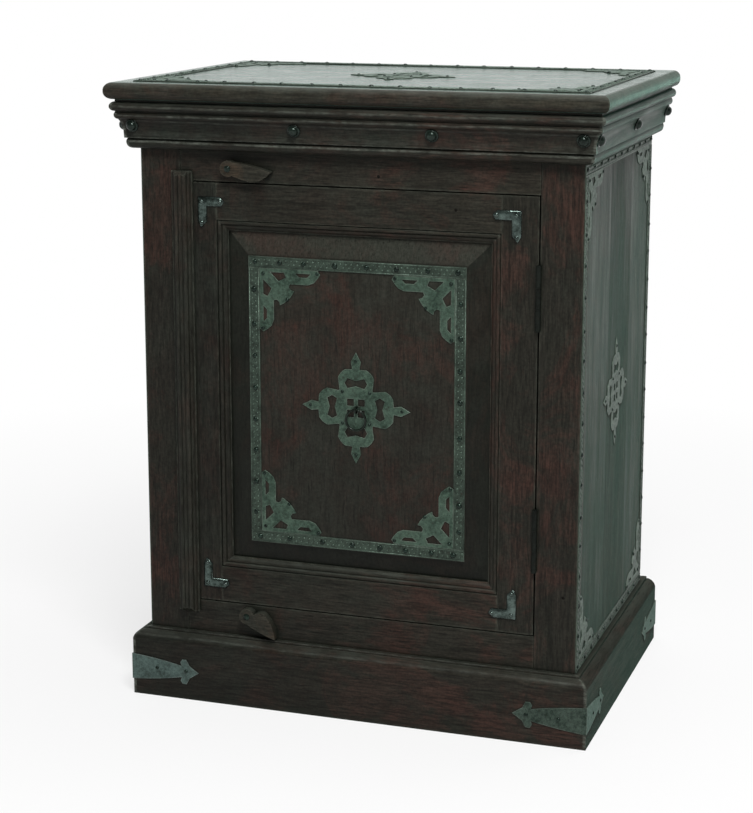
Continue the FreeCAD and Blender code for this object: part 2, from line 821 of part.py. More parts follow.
def door_panel():
    """The panel: a thin tongue all round, held in the groove, and a raised field with bevelled sides."""
    half = door_half - member_width
    half_rise = door_height / 2 - member_width
    tongue = dim.groove_depth - PANEL_PLAY
    body = new_body("door_panel")
    whole = sketch_on(body, "XZ", -dim.groove_front)
    draw_rectangle(whole, -half - tongue, -half_rise - dim.groove_depth, half + tongue, half_rise + tongue)
    leaf = pad(body, whole, dim.groove_width)
    leaf.Reversed = True
    low = dim.field_low - door_low - door_height / 2
    high = dim.field_high - door_low - door_height / 2
    wide = dim.field_half_width
    field = sketch_on(body, "XZ", -dim.groove_front)
    shy = 0.4
    draw_rectangle(field, -half + shy, -half_rise + shy, half - shy, half_rise - shy)
    pad(body, field, dim.groove_front - FIELD_SETBACK)
    brow = FIELD_SETBACK + FIELD_STEP
    foot = dim.groove_front
    clear = FIELD_SETBACK - 2 * PAST
    uprights = sketch_on(body, "XY")
    draw_loop(uprights, [(-half, foot), (-half, clear), (-wide, clear), (-wide, brow)])
    draw_loop(uprights, [(half, foot), (wide, brow), (wide, clear), (half, clear)])
    pocket(body, uprights)
    crossings = sketch_on(body, "YZ")
    draw_loop(crossings, [(foot, -half_rise), (brow, low), (clear, low), (clear, -half_rise)])
    draw_loop(crossings, [(foot, half_rise), (clear, half_rise), (clear, high), (brow, high)])
    pocket(body, crossings)
    return place(body, 0, front, door_low + door_height / 2)


def astragal():
    """The meeting strip on the door's free edge: three reeds between stepped shoulders, sloped off at
    both ends. It laps over the stile beside the door and stops the door in line with the frame."""
    width = dim.astragal_width
    length = dim.astragal_high - dim.astragal_low
    reeds = 3
    shoulder = 6
    reed_base = -9.8
    reed_pitch = (width - 2 * shoulder) / reeds
    quirk = 0.3
    corners = [(0, 0), (0, -3), (2.4, -3, 40), (4.6, -6.6), (5.4, -6.6), (5.8, -9.4)]
    for number in range(reeds):
        start = shoulder + number * reed_pitch
        corners.append((start, reed_base, 115))
        corners.append((start + reed_pitch - quirk, reed_base))
    corners += [(width - 5.8, -9.4), (width - 5.4, -6.6), (width - 4.6, -6.6, 40), (width - 2.4, -3),
                (width, -3), (width, 0)]
    body = new_body("astragal")
    section = sketch_on(body, "XY")
    draw_loop(section, corners)
    pad(body, section, length)
    slope_start = -6
    slope_end = -13
    run = slope_start - slope_end
    slopes = sketch_on(body, "YZ")
    draw_loop(slopes, [(slope_start, 0), (slope_start, -PAST), (slope_end, -PAST), (slope_end, run)])
    draw_loop(slopes, [(slope_start, length), (slope_end, length - run), (slope_end, length + PAST),
                       (slope_start, length + PAST)])
    pocket(body, slopes)
    lap = 1.3
    return place(body, lap - door_half - width / 2, front, dim.astragal_low)


def door_bracket():
    """An L-shaped iron for a low left corner of the door, with a skewed point on each arm."""
    unit = dim.bracket_leg / DIMENSIONS["bracket_leg"][0]
    outline = [(0, 0), (28, 0), (34, 5), (30.5, 11.3), (11.3, 11.3), (11.3, 29.5), (4, 37), (0, 30)]
    body = new_body("door_bracket")
    sketch = sketch_on(body, "XZ")
    draw_loop(sketch, scaled(outline, unit))
    pad(body, sketch, dim.bracket_iron)
    return place(body, -door_half + dim.bracket_inset, front, door_low + dim.bracket_rise)


def door_fittings():
    """Border, corner plates and cross plate of the raised field, and the brackets on the door's frame."""
    centre = (0, front + FIELD_SETBACK, field_middle)
    left = -dim.field_half_width + dim.strip_width
    bottom = dim.field_low + dim.strip_width
    frame = border("door_border", dim.field_half_width, field_half_height, *centre, FACING_FRONT)
    plate = corner_plate("door_corner_plate", left, centre[1], bottom, FACING_FRONT)
    corners = at_four_corners("door_corner_plates", plate, ACROSS, UP, z=field_middle)
    cross = cross_plate("door_cross_plate", *centre, FACING_FRONT)
    bracket = door_bracket()
    brackets = at_four_corners("door_brackets", bracket, ACROSS, UP, z=(door_low + door_high) / 2)
    return [frame, corners, cross, brackets]


def ring_staple():
    """The staple that carries the pull ring: two square legs driven into the panel, joined by a
    round bend."""
    bite = 9
    bar = dim.staple_bar
    inner = dim.staple_gap / 2
    body = new_body("ring_staple")
    legs = sketch_on(body, "XZ", -bite)
    draw_rectangle(legs, -bar / 2, inner, bar / 2, inner + bar)
    draw_rectangle(legs, -bar / 2, -inner - bar, bar / 2, -inner)
    bend = sketch_on(body, "XZ", dim.staple_reach)
    draw_rectangle(bend, -bar / 2, inner, bar / 2, inner + bar)
    revolve(body, bend, "H_Axis", 180)
    pad(body, legs, bite + dim.staple_reach)
    return place(body, dim.staple_x, front, dim.staple_level)


def pull_ring():
    """The ring that hangs in the staple: an eight-sided wire bent round in short straight steps."""
    path = document.addObject("Part::RegularPolygon", "ring_path")
    path.Polygon = 20
    bind(path, "Circumradius", dim.ring_radius)
    section = document.addObject("Part::RegularPolygon", "ring_section")
    section.Polygon = 8
    bind(section, "Circumradius", dim.ring_wire)
    place(section, dim.ring_radius, 0, 0, Rotation(ACROSS, 90))
    ring = document.addObject("Part::Sweep", "pull_ring")
    ring.Sections = [section]
    ring.Spine = (path, [])
    ring.Solid = True
    ring.Transition = "Right corner"
    level = dim.staple_level - dim.ring_radius
    return place(ring, dim.staple_x, front - dim.staple_reach, level, Rotation(ACROSS, 90))


# ---------------------------------------------------------------- hinges

def knuckles(first):
    """Start and end of every second knuckle of three, counted from the first or the second."""
    count = 3
    pitch = dim.hinge_length / count
    spans = []
    for number in range(first, count, 2):
        start = pitch * number + (dim.knuckle_gap / 2 if number > 0 else 0)
        end = pitch * (number + 1) - (dim.knuckle_gap / 2 if number < count - 1 else 0)
        spans.append((start, end))
    return spans


def hinge_leaf(label, side, first, level):
    """A leaf with its knuckles. Side is -1 for the door's leaf and 1 for the frame's."""
    body = new_body(label)
    plan = sketch_on(body, "XY")
    inner = side * dim.door_gap / 2
    outer = inner + side * dim.leaf_thickness
    left, right = (outer, inner) if side < 0 else (inner, outer)
    clear = dim.knuckle_radius + 0.25
    overlap = 1
    draw_rectangle(plan, left, clear, right, dim.hinge_standoff + dim.hinge_leaf)
    pad(body, plan, dim.hinge_length)
    for start, end in knuckles(first):
        barrel = sketch_on(body, "XY", start)
        draw_circle(barrel, 0, 0, dim.knuckle_radius)
        pad(body, barrel, end - start)
        neck = sketch_on(body, "XY", start)
        draw_rectangle(neck, left, 0, right, clear + overlap)
        pad(body, neck, end - start)
    bore = sketch_on(body, "XY")
    draw_circle(bore, 0, 0, dim.pin_radius + dim.running_gap)
    pocket(body, bore)
    return place(body, hinge_x, hinge_y, level)


def hinge_pin(label, level):
    """A plain pin, a little proud of the knuckles at both ends."""
    proud = 0.6
    body = new_body(label)
    section = sketch_on(body, "XY", -proud)
    draw_circle(section, 0, 0, dim.pin_radius)
    pad(body, section, dim.hinge_length + 2 * proud)
    return place(body, hinge_x, hinge_y, level)


def hinges():
    pieces = []
    for name, level in (("upper", dim.hinge_upper), ("lower", dim.hinge_lower)):
        pieces.append(hinge_leaf("hinge_leaf_door_" + name, -1, 1, level))
        pieces.append(hinge_leaf("hinge_leaf_frame_" + name, 1, 0, level))
        pieces.append(hinge_pin("hinge_pin_" + name, level))
    return pieces


# ---------------------------------------------------------------- turn-buttons

# Each button's pivot on the front, its wing's slope at rest, and the carver's shape of the wing: how
# far its tip reaches, where its full side is fullest, and the turns of the curves to there and on to
# the tip. The upper button's full side is below its wing, the lower button's above.
BUTTONS = {
    "turn_button_upper": {"pivot": (-155.6, 663.2), "slope": -3, "tip": 53.7, "fullest": (30, 13.5),
                          "turns": (8, 50), "side": 1},
    "turn_button_lower": {"pivot": (-138.8, 113.6), "slope": -35.4, "tip": 44.8, "fullest": (15, 17.4),
                          "turns": (60, 42), "side": -1},
}


def turn_button(label, pivot, slope, tip, fullest, turns, side):
    """A carved wooden button that turns on a nail: a round head, and a pointed wing with one nearly
    straight side and one full side."""
    head = dim.button_head.value
    neck_along = 5.5
    neck_across = math.sqrt(head ** 2 - neck_along ** 2)
    head_turn = 360 - 2 * math.degrees(math.atan2(neck_across, neck_along))
    straight_side_turn = 14
    outline = [
        (neck_along, side * neck_across, side * head_turn),
        (neck_along, -side * neck_across, side * turns[0]),
        (fullest[0], -side * fullest[1], side * turns[1]),
        (tip, 0, side * straight_side_turn),
    ]
    body = new_body(label)
    wing = sketch_on(body, "XZ", dim.button_gap)
    draw_loop(wing, outline)
    draw_circle(wing, 0, 0, dim.nail_radius + dim.running_gap)
    pad(body, wing, dim.button_thickness)
    x, z = pivot
    return place(body, x, front, z, Rotation(INWARD, -slope))


def button_nails():
    """The two nails that the turn-buttons turn on: a round shank under a faceted head."""
    under_head = dim.button_gap + dim.button_thickness + dim.button_gap
    nails = []
    for shape in BUTTONS.values():
        nail = new_body("button_nail")
        shank = sketch_on(nail, "XZ", -dim.nail_bite)
        draw_circle(shank, 0, 0, dim.nail_radius)
        pad(nail, shank, dim.nail_bite + under_head)
        faceted_head(nail, "XZ", under_head, 2 * dim.nail_radius, dim.nail_radius)
        x, z = shape["pivot"]
        nails.append(place(nail, x, front, z))
    return group("button_nails", nails)


# ---------------------------------------------------------------- the whole table

def build():
    nodes = [
        side_panel("side_panel_left", -half_width),
        side_panel("side_panel_right", half_width - dim.board),
        face_stile("face_stile_left", -half_width, dim.stile_width, -1, False),
        face_stile("face_stile_right", half_width - dim.stile_width, size(0), 1, True),
        face_rail("face_rail_top", dim.opening_high, under_top),
        face_rail("face_rail_bottom", dim.rail_low, dim.opening_low),
        back_panel(),
        inner_shelf("bottom_board", dim.floor_level, 0),
        inner_shelf("shelf", dim.shelf_level, dim.shelf_setback),
        cleats("bottom_cleats", dim.floor_level - dim.inner_board),
        cleats("shelf_cleats", dim.shelf_level - dim.inner_board),
        cleats("top_cleats", under_top),
        top_board(),
    ]
    cornice = cornice_profile()
    cornice_height = under_top - dim.cornice_low
    nodes += mouldings_round("cornice", cornice, dim.cornice_low, cornice_height, dim.back_overhang)
    nodes += mouldings_round("plinth", plinth_profile(), 0, dim.plinth_height, dim.plinth_overhang)
    nodes.append(cornice_studs())
    nodes += plinth_straps()
    nodes += side_fittings()
    nodes += top_fittings()
    upside_down = Rotation(INWARD, 180)
    hinge_starts = [door_high - level - dim.hinge_length for level in (dim.hinge_upper, dim.hinge_lower)]
    rail_start = door_half - dim.door_flat
    nodes += [
        door_stile("door_stile_left", -door_half, door_low, Rotation(), []),
        door_stile("door_stile_right", door_half, door_high, upside_down, hinge_starts),
        door_rail("door_rail_bottom", -rail_start, door_low, Rotation()),
        door_rail("door_rail_top", rail_start, door_high, upside_down),
        door_panel(),
        astragal(),
    ]
    nodes += door_fittings()
    nodes += [ring_staple(), pull_ring()]
    nodes += hinges()
    nodes += [turn_button(label, **shape) for label, shape in BUTTONS.items()]
    nodes.append(button_nails())
    return nodes


def faults(nodes):
    """Every failed feature, bad shape and pocket that cuts nothing."""
    found = []
    for thing in document.Objects:
        if "Invalid" in thing.State or "Error" in thing.State:
            found.append(f"{thing.Label}: {thing.State}")
        if thing.TypeId == "PartDesign::Pocket" and thing.BaseFeature is not None:
            if thing.BaseFeature.Shape.Volume - thing.Shape.Volume < 1:
                found.append(f"{thing.Label} cuts nothing")
    for node in nodes:
        if node.Shape.isNull() or not node.Shape.isValid():
            found.append(f"{node.Label}: null or invalid shape")
    return found


nodes = build()
document.recompute()
problems = faults(nodes)
if problems:
    raise RuntimeError("; ".join(problems))
os.makedirs("parts", exist_ok=True)
for node in nodes:
    node.Shape.exportStep(f"parts/{node.Label}.step")
print(len(nodes), "nodes written")
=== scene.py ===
"""Looks of the storage side table: dark worn wood, old green-grey iron, nails, stamped relief, camera, light.

Metres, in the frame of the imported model: +Z is up, the door faces -Y, and the origin is on the floor.
Colours are linear, as (red, green, blue).
"""

import math
import random

import bmesh
import bpy
from mathutils import Matrix, Vector


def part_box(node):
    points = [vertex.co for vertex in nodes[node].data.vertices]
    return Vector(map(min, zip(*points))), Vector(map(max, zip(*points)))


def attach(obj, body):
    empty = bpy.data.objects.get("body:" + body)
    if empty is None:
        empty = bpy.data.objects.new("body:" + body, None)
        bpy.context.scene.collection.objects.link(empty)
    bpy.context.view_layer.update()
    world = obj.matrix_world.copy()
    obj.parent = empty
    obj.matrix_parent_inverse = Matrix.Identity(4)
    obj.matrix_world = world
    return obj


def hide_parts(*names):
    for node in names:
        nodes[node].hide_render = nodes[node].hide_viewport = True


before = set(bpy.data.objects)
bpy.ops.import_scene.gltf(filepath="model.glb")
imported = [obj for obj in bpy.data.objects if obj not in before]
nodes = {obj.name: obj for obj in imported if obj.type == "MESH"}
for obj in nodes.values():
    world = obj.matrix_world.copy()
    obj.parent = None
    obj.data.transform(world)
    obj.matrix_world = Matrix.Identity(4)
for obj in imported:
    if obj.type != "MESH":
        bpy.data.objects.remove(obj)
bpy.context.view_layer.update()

MM = 0.001
luck = random.Random(7)


# ---------------------------------------------------------------- places read from the frame

def low(node):
    """The lower corner of a node's box."""
    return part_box(node)[0]


def high(node):
    """The upper corner of a node's box."""
    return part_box(node)[1]


FRONT = low("face_rail_top").y
CORNICE_LOW = low("cornice_front").z
PLINTH_HIGH = high("plinth_front").z
FIELD_LOW, FIELD_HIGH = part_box("door_border")
FIELD_MIDDLE = (FIELD_LOW + FIELD_HIGH) / 2
FIELD_HALF = (FIELD_HIGH - FIELD_LOW) / 2
RIGHT = Vector((1, 0, 0))
BACK = Vector((0, 1, 0))
UP = Vector((0, 0, 1))


# ---------------------------------------------------------------- material graphs

# How far an object's random number shifts its noises, in units of their scale.
SHIFT = 37.0


def opaque(tone):
    """A colour with its alpha, or a socket as it is."""
    return (*tone, 1.0) if isinstance(tone, tuple) else tone


class Graph:
    """The node tree of a material or a world, with short calls that add nodes and link them."""

    def __init__(self, name, kind="materials"):
        self.material = getattr(bpy.data, kind).new(name)
        self.material.use_nodes = True
        self.tree = self.material.node_tree
        self.tree.nodes.clear()

    def add(self, kind, inputs, **settings):
        """A node of that kind. Each input is linked to a socket or set to a value."""
        node = self.tree.nodes.new("ShaderNode" + kind)
        for key, value in settings.items():
            setattr(node, key, value)
        for key, value in inputs.items():
            if isinstance(value, bpy.types.NodeSocket):
                self.tree.links.new(value, node.inputs[key])
            else:
                node.inputs[key].default_value = value
        return node

    def coordinates(self):
        return self.add("TexCoord", {}).outputs["Object"]

    def part(self, axis, vector=None):
        """One coordinate of a vector, or of the point itself."""
        return self.add("SeparateXYZ", {0: vector or self.coordinates()}).outputs[axis]

    def place(self, scale, own=True):
        """Object coordinates in metres times a scale. Own ones are shifted by the object's random number."""
        scaled = self.add("VectorMath", {0: self.coordinates(), 1: scale}, operation="MULTIPLY").outputs[0]
        if not own:
            return scaled
        chance = self.add("ObjectInfo", {}).outputs["Random"]
        shift = self.product(chance, SHIFT)
        return self.add("VectorMath", {0: scaled, 1: shift}, operation="ADD").outputs[0]

    def noise(self, place, detail=4.0, roughness=0.55, distortion=0.0):
        inputs = {"Vector": place, "Scale": 1.0, "Detail": detail, "Roughness": roughness,
                  "Distortion": distortion}
        return self.add("TexNoise", inputs).outputs["Fac"]

    def between(self, value, start, end, to_start=0.0, to_end=1.0):
        """The value, taken from one range to another and kept inside it."""
        inputs = {"Value": value, "From Min": start, "From Max": end, "To Min": to_start, "To Max": to_end}
        return self.add("MapRange", inputs).outputs["Result"]

    def math(self, operation, first, second=0.0):
        return self.add("Math", {0: first, 1: second}, operation=operation).outputs[0]

    def total(self, first, second):
        return self.math("ADD", first, second)

    def product(self, *factors):
        """All the factors, multiplied."""
        result = factors[0]
        for factor in factors[1:]:
            result = self.math("MULTIPLY", result, factor)
        return result

    def blend(self, share, first, second, mode="MIX"):
        """The first tone with a share of the second one over it."""
        colours = {0: share, 6: opaque(first), 7: opaque(second)}
        return self.add("Mix", colours, data_type="RGBA", blend_type=mode).outputs[2]

    def scaled(self, tone, factor):
        """A tone made lighter or darker."""
        return self.blend(1.0, tone, factor, "MULTIPLY")

    def bump(self, height, strength, distance):
        return self.add("Bump", {"Height": height, "Strength": strength, "Distance": distance}).outputs[0]

    def edges(self, radius, start, end):
        """1 on sharp edges, where a rounded normal turns away from the true one, and 0 on flat metal."""
        rounded = self.add("Bevel", {"Radius": radius}, samples=4).outputs[0]
        true = self.add("NewGeometry", {}).outputs["Normal"]
        likeness = self.add("VectorMath", {0: rounded, 1: true}, operation="DOT_PRODUCT").outputs["Value"]
        return self.between(likeness, start, end)

    def crevice_shade(self, reach):
        """The mask of painted shade: 1 deep in a corner or a groove, and 0 in the open."""
        open_share = self.add("AmbientOcclusion", {"Distance": reach}, samples=6).outputs["AO"]
        return self.between(open_share, 0.85, 0.38)

    def arris(self, reach):
        """1 on a sharp edge of thick wood, where little lies behind the surface, and 0 on flat wood."""
        solid_share = self.add("AmbientOcclusion", {"Distance": reach}, samples=6, inside=True,
                               only_local=True).outputs["AO"]
        return self.between(solid_share, 0.92, 0.5)

    def upward(self, start, end):
        """0 on a surface that stands and 1 on one that lies flat and looks up."""
        return self.between(self.part("Z", self.add("NewGeometry", {}).outputs["Normal"]), start, end)

    def levels(self, lines, wander):
        """Its strength at the height of each line, and 0 between them. The lines wander a little."""
        height = self.total(self.part("Z"), wander)
        shown = 0.0
        for level, half_width, strength in lines:
            off = self.math("ABSOLUTE", self.math("SUBTRACT", height, level))
            line = self.between(off, half_width, 0.3 * half_width, 0.0, strength)
            shown = self.math("MAXIMUM", shown, line)
        return shown

    def bevels(self, middle, half):
        """Two masks of the bevels round a rectangle in X and Z: the upper one, for painted light, and the
        other three, for painted shade.
        """
        edge_blur = 2 * MM
        mitre_blur = 0.6 * MM
        middle_blur = 10 * MM
        offset = self.add("VectorMath", {0: self.coordinates(), 1: middle}, operation="SUBTRACT").outputs[0]
        distance = self.add("VectorMath", {0: offset}, operation="ABSOLUTE").outputs[0]
        beyond = self.add("VectorMath", {0: distance, 1: half}, operation="SUBTRACT").outputs[0]
        parts = self.add("SeparateXYZ", {0: beyond}).outputs
        outside = self.between(self.math("MAXIMUM", parts["X"], parts["Z"]), 0.0, edge_blur)
        beside = self.between(self.math("SUBTRACT", parts["X"], parts["Z"]), -mitre_blur, mitre_blur)
        above = self.between(self.part("Z", offset), 0.0, middle_blur)
        upper = self.product(above, self.math("SUBTRACT", 1.0, beside), outside)
        return upper, self.math("SUBTRACT", outside, upper)

    def surface(self, **inputs):
        """The Principled shader as the material's surface. Underscores stand for spaces."""
        named = {key.replace("_", " "): value for key, value in inputs.items()}
        shader = self.add("BsdfPrincipled", named)
        self.add("OutputMaterial", {"Surface": shader.outputs[0]})
        return self.material


# ---------------------------------------------------------------- wood

# Dark streaks and plain tone, the red where the lacquer has worn thin, the green-grey film, a pale tone for
# rubbed edges and for painted highlight on crests, dust on what looks up, painted shade in corners, and open
# pores.
DARK = (0.0085, 0.0090, 0.0064)
BROWN = (0.0228, 0.0198, 0.0148)
RED = (0.042, 0.0185, 0.0138)
FILM = (0.031, 0.037, 0.029)
RUBBED_AND_LIT = (0.075, 0.082, 0.064)
DUST = (0.064, 0.072, 0.060)
CREVICE_SHADE = (0.0085, 0.0108, 0.0080)
PORE = (0.004, 0.004, 0.003)
# The bevels round the door panel's field: painted light in two tones on the upper one, and painted shade on
# the other three.
BEVEL_LIT_GREEN = (0.034, 0.037, 0.029)
BEVEL_LIT_BROWN = (0.041, 0.032, 0.0255)
BEVEL_SHADE = (0.0062, 0.0082, 0.0058)
# The pale haze that old lacquer and patina show at a slant.
HAZE_TINT = (0.5, 1.0, 0.8)
# Changes from place to place: from and to in metres, and then how much shows at each, where it is fixed.
# Across the front, from left to right:
RED_ACROSS = (-0.25, 0.2, 0.45, 1.2)
FILM_ACROSS = (-0.25, 0.2, 1.5, 0.5)
# Painted shade, darker towards the left:
SHADE_ACROSS = (-0.24, 0.16, 0.76, 1.18)
# Up the door's panel, for its painted light; up the sides, for the painted shade of their film near the
# floor; and down the sides:
PANEL_RISE = (0.21, 0.56)
SIDE_RISE = (0.06, 0.66)
SIDE_FALL = (0.66, 0.06)


class Timber(Graph):
    """The graph of one wooden finish, with the noises that its parts share.

    Grain is the axis that the fibres follow. Streaks is the scale of the film's streaks along it.
    """

    def __init__(self, name, grain, streaks):
        super().__init__(name)
        self.axis = "XYZ".index(grain)
        self.bands = self.noise(self.along(100, 8), 6.0, 0.6, 0.5)
        self.fibres = self.noise(self.along(430, 42), 3.0, 0.75)
        self.patches = self.noise(self.along(13, 9, own=False), 8.0, 0.72, 0.6)
        self.haze = self.noise(self.along(19, streaks, own=False), 8.0, 0.7, 0.3)
        self.scuffs = self.noise(self.along(240, 90), 4.0, 0.7)
        self.pores = self.between(self.noise(self.along(900, 50), 2.0, 0.5), 0.58, 0.7)

    def along(self, across, lengthwise, own=True):
        """Coordinates for a noise, with one scale across the fibres and another along them."""
        scale = [across] * 3
        scale[self.axis] = lengthwise
        return self.place(scale, own)

    def streaked(self, dark, brown, banding):
        """The wood itself: dark streaks in a plain tone, fainter with more banding."""
        return self.blend(self.between(self.bands, 0.3, 0.7, banding, 1.0), dark, brown)

    def reddened(self, tone, red, redness, sided):
        """Red wood in patches, where the lacquer has worn thin."""
        factors = [self.between(self.patches, 0.48, 0.58), redness,
                   self.between(self.fibres, 0.35, 0.62, 0.55, 1.15)]
        if sided:
            factors.append(self.between(self.part("X"), *RED_ACROSS))
        return self.blend(self.product(*factors), tone, red)

    def filmed(self, tone, film, colour, colour_low, sided):
        """A film in streaks, which may take a darker colour near the floor, as painted shade."""
        factors = [self.between(self.haze, 0.4, 0.66), film]
        if sided:
            factors.append(self.between(self.part("X"), *FILM_ACROSS))
        if colour_low:
            colour = self.blend(self.between(self.part("Z"), *SIDE_RISE), colour_low, colour)
        return self.blend(self.product(*factors), tone, colour)

    def bevel_light_and_shade(self, tone, field):
        """Painted shade on the bevels round a field, and painted light on the upper one. The field is given
        by its middle and half its size.
        """
        upper, shaded_bevels = self.bevels(*field)
        uneven = self.between(self.haze, 0.35, 0.6, 0.85, 0.6)
        tone = self.blend(self.product(shaded_bevels, uneven), tone, BEVEL_SHADE)
        light = self.blend(self.between(self.patches, 0.42, 0.6), BEVEL_LIT_GREEN, BEVEL_LIT_BROWN)
        return self.blend(self.product(upper, uneven), tone, light)

    def grained(self, tone, depth):
        """Lighter and darker fibres, and a fine speckle."""
        speckle = self.noise(self.place([300] * 3), 3.0, 0.75)
        tone = self.scaled(tone, self.between(self.fibres, 0.34, 0.66, 0.9 - depth, 0.9 + depth))
        return self.scaled(tone, self.between(speckle, 0.34, 0.66, 0.72, 1.18))

    def dusted(self, tone, dust):
        settled = self.between(self.haze, 0.36, 0.6, 0.3 * dust, dust)
        return self.blend(self.product(self.upward(0.25, 0.9), settled), tone, DUST)

    def rubbed(self, tone, worn, wear, crests):
        """Pale rubbed edges, and pale broken lines on a moulding's crests: part wear, part painted highlight.
        """
        pale = self.product(self.arris(3 * MM), self.between(self.scuffs, 0.42, 0.62, 0.1, wear))
        if crests:
            wander = self.between(self.noise(self.along(9, 9)), 0.3, 0.7, -0.9 * MM, 0.9 * MM)
            lines = self.product(self.levels(crests, wander), self.between(self.haze, 0.38, 0.56, 0.3, 1.0),
                                 self.between(self.scuffs, 0.4, 0.62, 0.25, 1.0))
            pale = self.math("MAXIMUM", pale, lines)
        return self.blend(pale, tone, worn)

    def pored_and_shaded(self, tone):
        """Dark pores, and painted shade in the corners."""
        tone = self.blend(self.product(self.pores, 0.6), tone, PORE)
        return self.blend(self.product(self.crevice_shade(14 * MM), 0.85), tone, CREVICE_SHADE)

    def board_chance(self, width):
        """A number from 0 to 1 for each of the boards of that width, side by side along Y."""
        count = self.math("FLOOR", self.product(self.total(self.part("Y"), width / 3), 1 / width))
        return self.add("TexWhiteNoise", {"W": count}, noise_dimensions="1D").outputs["Value"]

    def gloss(self, roughness, swing):
        """The roughness, which varies with the film and the bands."""
        gloss = self.between(self.haze, 0.3, 0.72, roughness - swing, roughness + swing)
        return self.total(gloss, self.between(self.bands, 0.3, 0.7, 0.08, -0.08))


def wood(name, grain, dark=DARK, brown=BROWN, red=RED, banding=0.3, redness=0.6, film=0.35,
         film_colour=FILM, film_low_shaded=None, streaks=19, sided=False, field=None, grain_depth=0.36, painted_light_rise=None,
         dust=0.3, worn=RUBBED_AND_LIT, wear=0.8, crests=None, boards=None, roughness=0.42, gloss_swing=0.1,
         rounded_roughness=None, roughness_low=None, specular=0.1, sheen=0.0):
    """Dark open-grained wood under old lacquer.

    Redness, film, dust and wear say how much shows of each. A sided wood is greener to the left, and darker
    there with painted shade. The low film colour and the low roughness are the film's colour and the
    roughness near the floor, and that colour is darker, as painted shade. Rounded_roughness is the roughness
    where a flat top turns down.
    Field is the middle and half the size of a panel's field, and the panel's rise is how light it is painted
    at its foot and its head, as painted light. Crests are the pale lines of a moulding, partly rubbed wear
    and partly painted highlight, each a height, half its width and a strength. Boards is the width of boards
    that differ a little.
    """
    graph = Timber(name, grain, streaks)
    tone = graph.streaked(dark, brown, banding)
    tone = graph.reddened(tone, red, redness, sided)
    tone = graph.filmed(tone, film, film_colour, film_low_shaded, sided)
    # Painted light on the field's upper bevel, and painted shade on the other three.
    if field:
        tone = graph.bevel_light_and_shade(tone, field)
    tone = graph.grained(tone, grain_depth)
    # Painted shade: a sided wood is darker towards the left of the front.
    if sided:
        tone = graph.scaled(tone, graph.between(graph.part("X"), *SHADE_ACROSS))
    # Painted light: the panel is lighter towards its head.
    if painted_light_rise:
        tone = graph.scaled(tone, graph.between(graph.part("Z"), *PANEL_RISE, *painted_light_rise))
    tone = graph.dusted(tone, dust)
    # Rubbed edges, and the crests' pale lines of wear and painted highlight.
    tone = graph.rubbed(tone, worn, wear, crests)
    # Dark pores, and painted shade in the corners and grooves.
    tone = graph.pored_and_shaded(tone)
    gloss = graph.gloss(roughness, gloss_swing)
    if rounded_roughness:
        duller = graph.between(graph.upward(0.9, 0.999), 1.0, 0.0, 0.0, rounded_roughness - roughness)
        gloss = graph.total(gloss, duller)
    if boards:
        board = graph.board_chance(boards)
        gloss = graph.total(gloss, graph.between(board, 0.0, 1.0, -0.14, 0.14))
        tone = graph.scaled(tone, graph.between(board, 0.0, 1.0, 1.15, 0.85))
    if roughness_low:
        duller = graph.between(graph.part("Z"), *SIDE_FALL, 0.0, roughness_low - roughness)
        gloss = graph.total(gloss, duller)
    haze = {}
    if sheen:
        haze = {"Sheen_Weight": sheen, "Sheen_Roughness": 0.25, "Sheen_Tint": opaque(HAZE_TINT)}
    height = graph.math("SUBTRACT", graph.product(graph.fibres, 0.6), graph.product(graph.pores, 0.7))
    return graph.surface(Base_Color=tone, Roughness=gloss, Specular_IOR_Level=specular,
                         Normal=graph.bump(height, 0.4, 0.35 * MM), **haze)


# The crests of the cornice and of the plinth, with pale lines of rubbed wear and painted highlight.
CRESTS = [(CORNICE_LOW + 8.5 * MM, 1.9 * MM, 0.65), (CORNICE_LOW + 17.5 * MM, 4.5 * MM, 0.10),
          (CORNICE_LOW + 33 * MM, 1.4 * MM, 0.32), (CORNICE_LOW + 39.5 * MM, 1.6 * MM, 0.48),
          (CORNICE_LOW + 50 * MM, 2.0 * MM, 0.4), (PLINTH_HIGH - 7 * MM, 1.5 * MM, 0.24)]
# Sided woods are darker towards the left of the front, as painted shade.
UPRIGHT = {"brown": (0.0185, 0.0165, 0.0125), "redness": 0.5, "sided": True, "wear": 0.55}
ACROSS = {"brown": (0.0255, 0.0222, 0.0165), "sided": True, "dust": 0.6, "wear": 0.55}
# Moulded fronts: their pale tone colours rubbed edges and the painted highlight on the crests.
MOULDED = {"sided": True, "dust": 0.4, "crests": CRESTS, "film": 0.5, "film_colour": (0.022, 0.030, 0.023),
           "redness": 0.5, "worn": (0.15, 0.165, 0.14), "wear": 0.6}
# On the sides and their trim, the film's darker colour near the floor is painted shade.
SIDE = {"redness": 0.35, "film": 0.85, "film_colour": (0.058, 0.074, 0.062),
        "film_low_shaded": (0.015, 0.020, 0.015), "roughness": 0.54, "roughness_low": 0.84, "specular": 0.05,
        "sheen": 0.105, "streaks": 4, "dust": 0.5, "gloss_swing": 0.22, "boards": 0.118}
SIDE_TRIM = {"redness": 0.3, "film": 0.7, "film_colour": (0.05, 0.068, 0.055),
             "film_low_shaded": (0.010, 0.014, 0.010), "roughness": 0.44, "roughness_low": 0.95, "specular": 0.06,
             "streaks": 5, "dust": 0.5, "gloss_swing": 0.14, "wear": 0.6}
TOP_BOARD = {"dark": (0.013, 0.0125, 0.0095), "brown": (0.037, 0.0325, 0.0225), "redness": 0.4, "film": 0.4,
             "film_colour": (0.033, 0.042, 0.035), "roughness": 0.13, "sheen": 0.38, "dust": 0.5,
             "rounded_roughness": 0.5}
